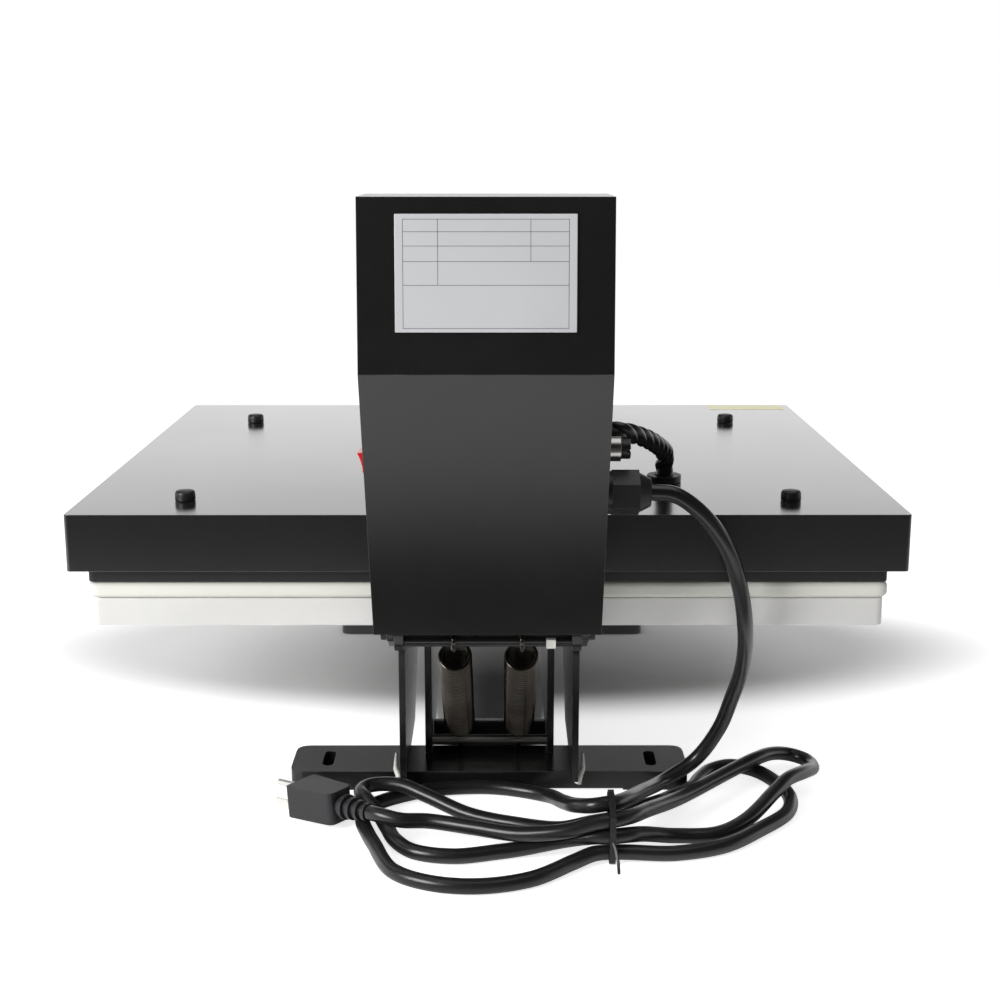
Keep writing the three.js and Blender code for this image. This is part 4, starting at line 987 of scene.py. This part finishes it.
@dataclass
class SideFittings:
    """The rocker switch, fuse socket, cable gland and loom bush in the side walls of the box."""

    pieces: tuple[tuple[str, str, float], ...] = (
        ("rocker_frame", "black_plastic", 0.4 * MM), ("rocker", "red_plastic", 0.45 * MM),
        ("fuse_socket", "steel", 0.4 * MM), ("fuse_cap", "black_plastic", 0.5 * MM),
        ("cable_gland", "black_plastic", 0.6 * MM), ("loom_bush", "black_plastic", 0.5 * MM))

    def build(self, bench: Bench) -> None:
        """Makes all fittings.

        Args:
            bench: The workbench.
        """
        for node, finish, width in self.pieces:
            bench.refine(node, finish, "", width, 3)


@dataclass
class PressHead:
    """The heated head: platen, insulation, foot, sheet cover, its four caps and the loom's grommet."""

    cover_edge: float = 1.3 * MM
    platen_edge: float = 0.7 * MM
    cap_radius: float = 6.5 * MM
    cap_height: float = 6.2 * MM
    shank_radius: float = 3 * MM
    cap_steps: tuple[tuple[float, float], ...] = (
        (0.0, 0.97), (0.12, 1.0), (0.72, 0.98), (0.88, 0.93), (0.96, 0.84), (1.0, 0.66))

    def build(self, bench: Bench) -> None:
        """Makes all pieces of the head.

        Args:
            bench: The workbench.
        """
        bench.refine("heat_platen", "black_platen", "powder_edge", self.platen_edge)
        bench.refine("insulation_board", "glass_fibre", "", 0.5 * MM)
        bench.refine("press_foot", "steel", "", 0.6 * MM)
        bench.refine("cover", "cover_black", "", self.cover_edge, 4)
        bench.refine("cover_grommet", "black_plastic", "", 0.6 * MM, 3)
        for end in ("front_right", "front_left", "rear_right", "rear_left"):
            self._cap(bench, f"cover_cap_{end}")

    def _cap(self, bench: Bench, node: str) -> None:
        """Turns one cap with its crowned head and shank.

        Args:
            bench: The workbench.
            node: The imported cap's name.
        """
        low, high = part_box(node)
        centre = ((low[0] + high[0]) / 2, (low[1] + high[1]) / 2, high[2] - self.cap_height)
        crown = [(up * self.cap_height, out * self.cap_radius) for up, out in self.cap_steps]
        profile = [(low[2] - centre[2], self.shank_radius), (0, self.shank_radius), *crown]
        cap = bench.turned(node + "_turned", centre, (0, 0, 1), profile, 48, 0)
        bench.finish(cap, "press_head", ["black_plastic"], "black_plastic")
        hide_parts(node)


@dataclass
class WireLoom:
    """The sleeved loom from the box down through the cover."""

    radius: float = 6.2 * MM
    strand_radius: float = 3.3 * MM
    twist: float = 34 * MM
    spacing: float = 0.0012
    sides: int = 16
    route: tuple[Point, ...] = (
        (-0.0679, 0.21, 0.275), (-0.0747, 0.21, 0.275), (-0.0815, 0.21, 0.275), (-0.097, 0.191, 0.268),
        (-0.11, 0.162, 0.257), (-0.117, 0.137, 0.247), (-0.118, 0.127, 0.2368), (-0.118, 0.127, 0.2305),
        (-0.118, 0.127, 0.2242))

    def build(self, bench: Bench) -> None:
        """Makes the loom.

        Args:
            bench: The workbench.
        """
        line = smooth_route(self.route, self.spacing)
        strands = []
        for turn, name in enumerate(("loom_sleeve", "strand_1", "strand_2")):
            strands.append(bench.tube(name, self._strand(line, turn), self.strand_radius, self.sides))
        loom = strands[0]
        bench.pick(loom)
        for strand in strands[1:]:
            strand.select_set(True)
        bpy.ops.object.join()
        bench.finish(loom, "", ["loom_sleeve"], "cord_black")
        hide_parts("wire_loom")
        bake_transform(loom)

    def _strand(self, line: Sequence[Vector], turn: int) -> list[Vector]:
        """Winds one strand round the loom's centre line.

        Args:
            line: The centre line.
            turn: Which of the three strands it is.

        Returns:
            The strand's centre line.
        """
        offset = self.radius - self.strand_radius
        side = Vector((0, 0, 1))
        gone = 0.0
        points = []
        for index, point in enumerate(line):
            ahead = line[min(index + 1, len(line) - 1)]
            behind = line[max(index - 1, 0)]
            tangent = (ahead - behind).normalized()
            side = (side - tangent * side.dot(tangent)).normalized()
            gone += (point - behind).length
            angle = 2 * math.pi * (gone / self.twist + turn / 3)
            around = side * math.cos(angle) + tangent.cross(side) * math.sin(angle)
            points.append(point + around * offset)
        return points


@dataclass
class PressureScrew:
    """The threaded screw and its lobed hand knob."""

    edge: float = 1.4 * MM

    def build(self, bench: Bench) -> None:
        """Makes the screw and the knob.

        Args:
            bench: The workbench.
        """
        bench.refine("pressure_screw", "steel", "", 0.3 * MM)
        bench.refine("pressure_knob", "black_plastic", "", self.edge, 4)


@dataclass
class LeverHandle:
    """The long handle: lever plates, cross rod, foam grip and the two links down to the base."""

    foam_radius: float = 16 * MM
    end_steps: tuple[tuple[float, float], ...] = (
        (0.0, 0.8), (0.01, 0.9), (0.03, 0.965), (0.07, 0.99), (0.15, 1.0))

    def build(self, bench: Bench) -> None:
        """Makes all pieces of the handle.

        Args:
            bench: The workbench.
        """
        for node in ("lever_left", "lever_right", "link_left", "link_right"):
            bench.refine(node, "powder_black", "powder_edge", 0.6 * MM, 3)
        bench.refine("grip_rod", "steel", "", 0.5 * MM)
        self._grip(bench)

    def _grip(self, bench: Bench) -> None:
        """Turns the foam grip with rounded, slightly drawn-in ends.

        Args:
            bench: The workbench.
        """
        low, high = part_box("foam_grip")
        length = high[0] - low[0]
        middle = ((low[1] + high[1]) / 2, (low[2] + high[2]) / 2)
        radius = self.foam_radius
        profile = [(share * length, out * radius) for share, out in self.end_steps]
        profile += [((1 - share) * length, out * radius) for share, out in reversed(self.end_steps)]
        grip = bench.turned("foam_sleeve", (low[0], *middle), (1, 0, 0), profile, 64, 0, 0.5 * radius)
        bench.finish(grip, "handle", ["foam_black"], "foam")
        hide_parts("foam_grip")


@dataclass
class MainsCord:
    """The mains cord: its drop from the gland, the tied hank, the tie and the plug."""

    radius: float = 5 * MM
    spacing: float = 0.0032
    drop: tuple[Point, ...] = (
        (-97.4, 245, 244.5), (-112, 245.5, 243), (-128, 247.5, 232), (-143, 246.5, 212), (-152.5, 241, 187),
        (-159.5, 228, 155), (-164.5, 193, 118), (-163.5, 160, 84), (-158, 141, 54), (-144, 133, 29),
        (-122, 142, 17.4), (-102, 178, 24.2), (-90, 205, 31), (-81.5, 216.7, 33.5), (-79, 218, 33.8))
    hank: tuple[Point, ...] = (
        (-76.5, 218.7, 33.8), (-67, 218, 32), (-57, 206, 27), (-50, 178, 17), (-40, 143, 6.5), (-8, 127, 5),
        (25, 126.5, 5), (48, 133, 5), (75, 151, 5), (85, 166, 5), (84.5, 183, 5), (80, 200, 5), (74, 218, 5),
        (59, 256, 5), (35, 272, 5), (5, 276, 5), (-27, 266.5, 5), (-54, 244, 5.4), (-68, 234, 6.4),
        (-79, 232, 6.5),
        (-90, 232, 6.3), (-119, 231, 5), (-152, 220, 5), (-180.5, 194.5, 5), (-203, 168, 5), (-209, 143, 5),
        (-204, 117, 5), (-192, 95, 5), (-176, 86.5, 5), (-161, 94, 5), (-151, 109, 5), (-143, 126, 5),
        (-122, 147, 5.2), (-102, 178, 12.8), (-90, 205, 19.8), (-79, 218, 22.6), (-66, 218, 20),
        (-47, 207, 11),
        (-18, 188, 5.5), (13, 174, 6), (42, 157, 12), (60, 148.5, 16), (74, 146, 16.2), (84, 149.5, 16),
        (87.5, 159, 16), (83, 170, 15.8), (74.5, 181, 11), (67, 195, 5.8), (61, 211, 5), (48, 228, 5),
        (22, 235, 5), (-18, 226, 5.5), (-50, 226, 12), (-68, 231, 16.6), (-79, 232, 17.2), (-89, 229.5, 17),
        (-100, 221.5, 14), (-122, 208, 6.5), (-150, 202.5, 5.2), (-172, 185, 7), (-197, 153, 14),
        (-208, 138, 16.4), (-225, 116, 13), (-234, 96, 8), (-231.5, 82, 8), (-221, 76, 9.5), (-207, 84, 13.5),
        (-191, 101, 16), (-173, 119, 15.5), (-128, 172, 17), (-103, 208, 24.5), (-91, 225, 27.8),
        (-79, 232, 28.2), (-68, 233.5, 27.2), (-50, 235, 22.5), (-20, 228, 17), (10, 216, 16), (40, 206, 16),
        (57, 208, 17.4), (71.3, 203.3, 18.9), (78.4, 197.5, 18.1))
    exit: Point = (-0.0974, 0.245, 0.2445)
    plug_tail: Point = (79.0, 197.0, 18.0)
    plug_tip: Point = (129.0, 156.0, 12.2)

    def build(self, bench: Bench) -> None:
        """Args:
            bench: The workbench.
        """
        route = [tuple(MM * value for value in point) for point in (*self.drop, *self.hank)]
        points = smooth_route(route, self.spacing)
        for point in points:
            point.z = max(point.z, self.radius)
        cord = bench.tube("cord_sheath", points, self.radius, 18)
        bench.finish(cord, "", ["cord_sheath"], "cord_black")
        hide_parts("mains_cord", "cord_hank")
        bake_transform(cord)
        plug = self._plug(bench)
        tie = bench.refine("cord_tie", "black_plastic", "", 0.25 * MM)

    def _plug(self, bench: Bench) -> Piece:
        """Dresses the plug: moulded body, bright blades and earth pin.

        Args:
            bench: The workbench.

        Returns:
            The plug.
        """
        plug = bench.refine("mains_plug", "plug_plastic", "", 0.0)
        tail = Vector(self.plug_tail) * MM
        along = Vector(self.plug_tip) * MM - tail
        length = along.length
        along.normalize()
        bench.bevel(plug, 0.7 * MM, 3)
        plug.data.materials.append(bench.palette.get("bright_nickel"))
        for face in plug.data.polygons:
            if (face.center - tail).dot(along) > length + 0.2 * MM:
                face.material_index = 1
        return plug


@dataclass(frozen=True)
class Patch:
    """A soft oval on the floor: its middle's y, its half lengths, where it starts to fade, and its values."""

    y: float
    across: float
    along: float
    inner: float
    middle: float
    outside: float


@dataclass(frozen=True)
class Lamp:
    """A square lamp: its name, where it hangs, the length of its side and its power in watts."""

    name: str
    place: Point
    size: float
    power: float


@dataclass
class Studio:
    """The white studio: floor, backdrop glow, lamps and the camera at the photograph's viewing angle."""

    camera_place: Point = (-0.0066, 1.14, 0.4415)
    pitch: float = 12.7
    yaw: float = 179.944
    lens: float = 55.33
    sensor: float = 36.0
    floor_far: float = -4.0
    floor_near: float = 0.76
    floor_half: float = 4.0
    floor_drop: float = 0.0005
    floor_roughness: float = 0.9
    floor_specular: float = 0.1
    shade: Patch = Patch(-0.21, 0.53, 0.2, 0.6, 0.02, 0.75)
    rail_shade: Patch = Patch(-0.1, 0.052, 0.205, 0.85, 0.0, 0.75)
    seat_shade: Patch = Patch(-0.2, 0.3, 0.24, 0.25, 0.5, 0.9)
    dim_y: float = 0.37
    mirrored: Ramp = Ramp(0.03, 0.12, 0.05, 1.5)
    sides: Ramp = Ramp(-0.05, 0.35, 1.0, 0.05)
    rise: Ramp = Ramp(0.2, 0.36, 1.42, 0.02)
    ambient: Ramp = Ramp(-0.6, 0.6, 0.12, 0.44)
    lamps: tuple[Lamp, ...] = (
        Lamp("key", (1.3, 1.2, 0.9), 0.8, 28.0), Lamp("softbox", (0.0, 0.0, 2.2), 2.0, 16.0))
    lamp_aim: Point = (0.0, 0.05, 0.2)

    def camera(self) -> None:
        """Sets the camera."""
        data = bpy.data.cameras.new("camera")
        data.lens = self.lens
        data.sensor_width = self.sensor
        camera = bpy.data.objects.new("camera", data)
        bpy.context.scene.collection.objects.link(camera)
        camera.location = self.camera_place
        camera.rotation_euler = (math.radians(90 - self.pitch), 0, math.radians(self.yaw))
        bpy.context.scene.camera = camera

    def build(self, bench: Bench) -> None:
        """Makes the floor, the world and the lamps.

        Args:
            bench: The workbench.
        """
        self._floor(bench)
        self._world()
        for lamp in self.lamps:
            self._hang(lamp)

    def _floor(self, bench: Bench) -> None:
        """Lays the white floor.

        Args:
            bench: The workbench.
        """
        bench.clear()
        middle = (self.floor_far + self.floor_near) / 2
        bpy.ops.mesh.primitive_plane_add(size=1, location=(0, middle, -self.floor_drop))
        floor = bench.take("floor")
        bpy.ops.transform.resize(value=(2 * self.floor_half, self.floor_near - self.floor_far, 1))
        bench.settle(floor)
        floor.data.materials.append(self._floor_white())

    def _floor_white(self) -> bpy.types.Material:
        """Makes the floor's white, which shades under the press and is dim behind it in reflections.

        Returns:
            The floor's material.
        """
        material = bpy.data.materials.new("floor_white")
        graph = Graph(material, "Object")
        shader = graph.tree.nodes["Principled BSDF"]
        shader.inputs["Roughness"].default_value = self.floor_roughness
        shader.inputs["Specular IOR Level"].default_value = self.floor_specular
        shader.inputs["Emission Color"].default_value = WHITE
        fade = graph.work_out("MINIMUM", self._patch(graph, self.shade), self._patch(graph, self.rail_shade))
        lift = graph.work_out("MULTIPLY", graph.ray("Is Camera Ray"), fade)
        away = graph.work_out("ABSOLUTE", graph.work_out("SUBTRACT", graph.part("Y"), self.dim_y))
        mirrored = graph.ramp(away, self.mirrored)
        white = graph.mix(graph.ray("Is Glossy Ray"), self._patch(graph, self.seat_shade), mirrored)
        graph.feed(shader.inputs["Emission Strength"], lift)
        graph.feed(shader.inputs["Base Color"], white)
        return material

    def _patch(self, graph: Graph, patch: Patch) -> Socket:
        """Adds a soft oval that goes from one value at its middle to another outside.

        Args:
            graph: The floor material's nodes.
            patch: The oval.

        Returns:
            The value's socket.
        """
        oval = {"Vector": graph.place, "Location": (0, patch.y, 0), "Scale": (patch.across, patch.along, 1)}
        centred = graph.add("ShaderNodeMapping", oval, "Vector", vector_type="TEXTURE")
        distance = graph.add("ShaderNodeVectorMath", {0: centred}, "Value", operation="LENGTH")
        return graph.ramp(distance, Ramp(patch.inner, 1.0, patch.middle, patch.outside), "SMOOTHSTEP")

    def _world(self) -> None:
        """Fills the world: white for the camera and behind the press in reflections, and an ambient light."""
        world = bpy.data.worlds.new("studio")
        bpy.context.scene.world = world
        graph = Graph(world, "Generated")
        background = graph.tree.nodes["Background"]
        background.inputs["Color"].default_value = WHITE
        sides = graph.ramp(graph.part("Y"), self.sides)
        backdrop = graph.work_out("MULTIPLY", sides, graph.ramp(graph.part("Z"), self.rise))
        ambient = graph.ramp(graph.part("Y"), self.ambient)
        unseen = graph.mix(graph.ray("Is Glossy Ray"), ambient, backdrop)
        graph.feed(background.inputs["Strength"], graph.mix(graph.ray("Is Camera Ray"), unseen, 1.0))

    def _hang(self, lamp: Lamp) -> None:
        """Hangs a lamp that faces the press.

        Args:
            lamp: The lamp.
        """
        data = bpy.data.lights.new(lamp.name, "AREA")
        data.shape = "SQUARE"
        data.size = lamp.size
        data.energy = lamp.power
        light = bpy.data.objects.new(lamp.name, data)
        bpy.context.scene.collection.objects.link(light)
        light.location = lamp.place
        aim = Vector(self.lamp_aim) - Vector(lamp.place)
        light.rotation_euler = aim.to_track_quat("-Z", "Y").to_euler()


def main() -> None:
    """Builds the studio and every sub-assembly in order."""
    logging.basicConfig(level=logging.INFO, format="%(name)s: %(message)s")
    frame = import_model()
    bpy.context.scene.view_settings.view_transform = "Standard"
    bench = Bench(frame)
    studio = Studio()
    studio.camera()
    MainsCord().build(bench)
    for assembly in (BaseFrame(), LiftSprings(), UpperArm(), ControlBox(), SideFittings(), PressHead(),
                     WireLoom(), PressureScrew(), LeverHandle(), Details()):
        assembly.build(bench)
        LOG.info("%s done", type(assembly).__name__)
    studio.build(bench)


if __name__ == "__main__":
    main()
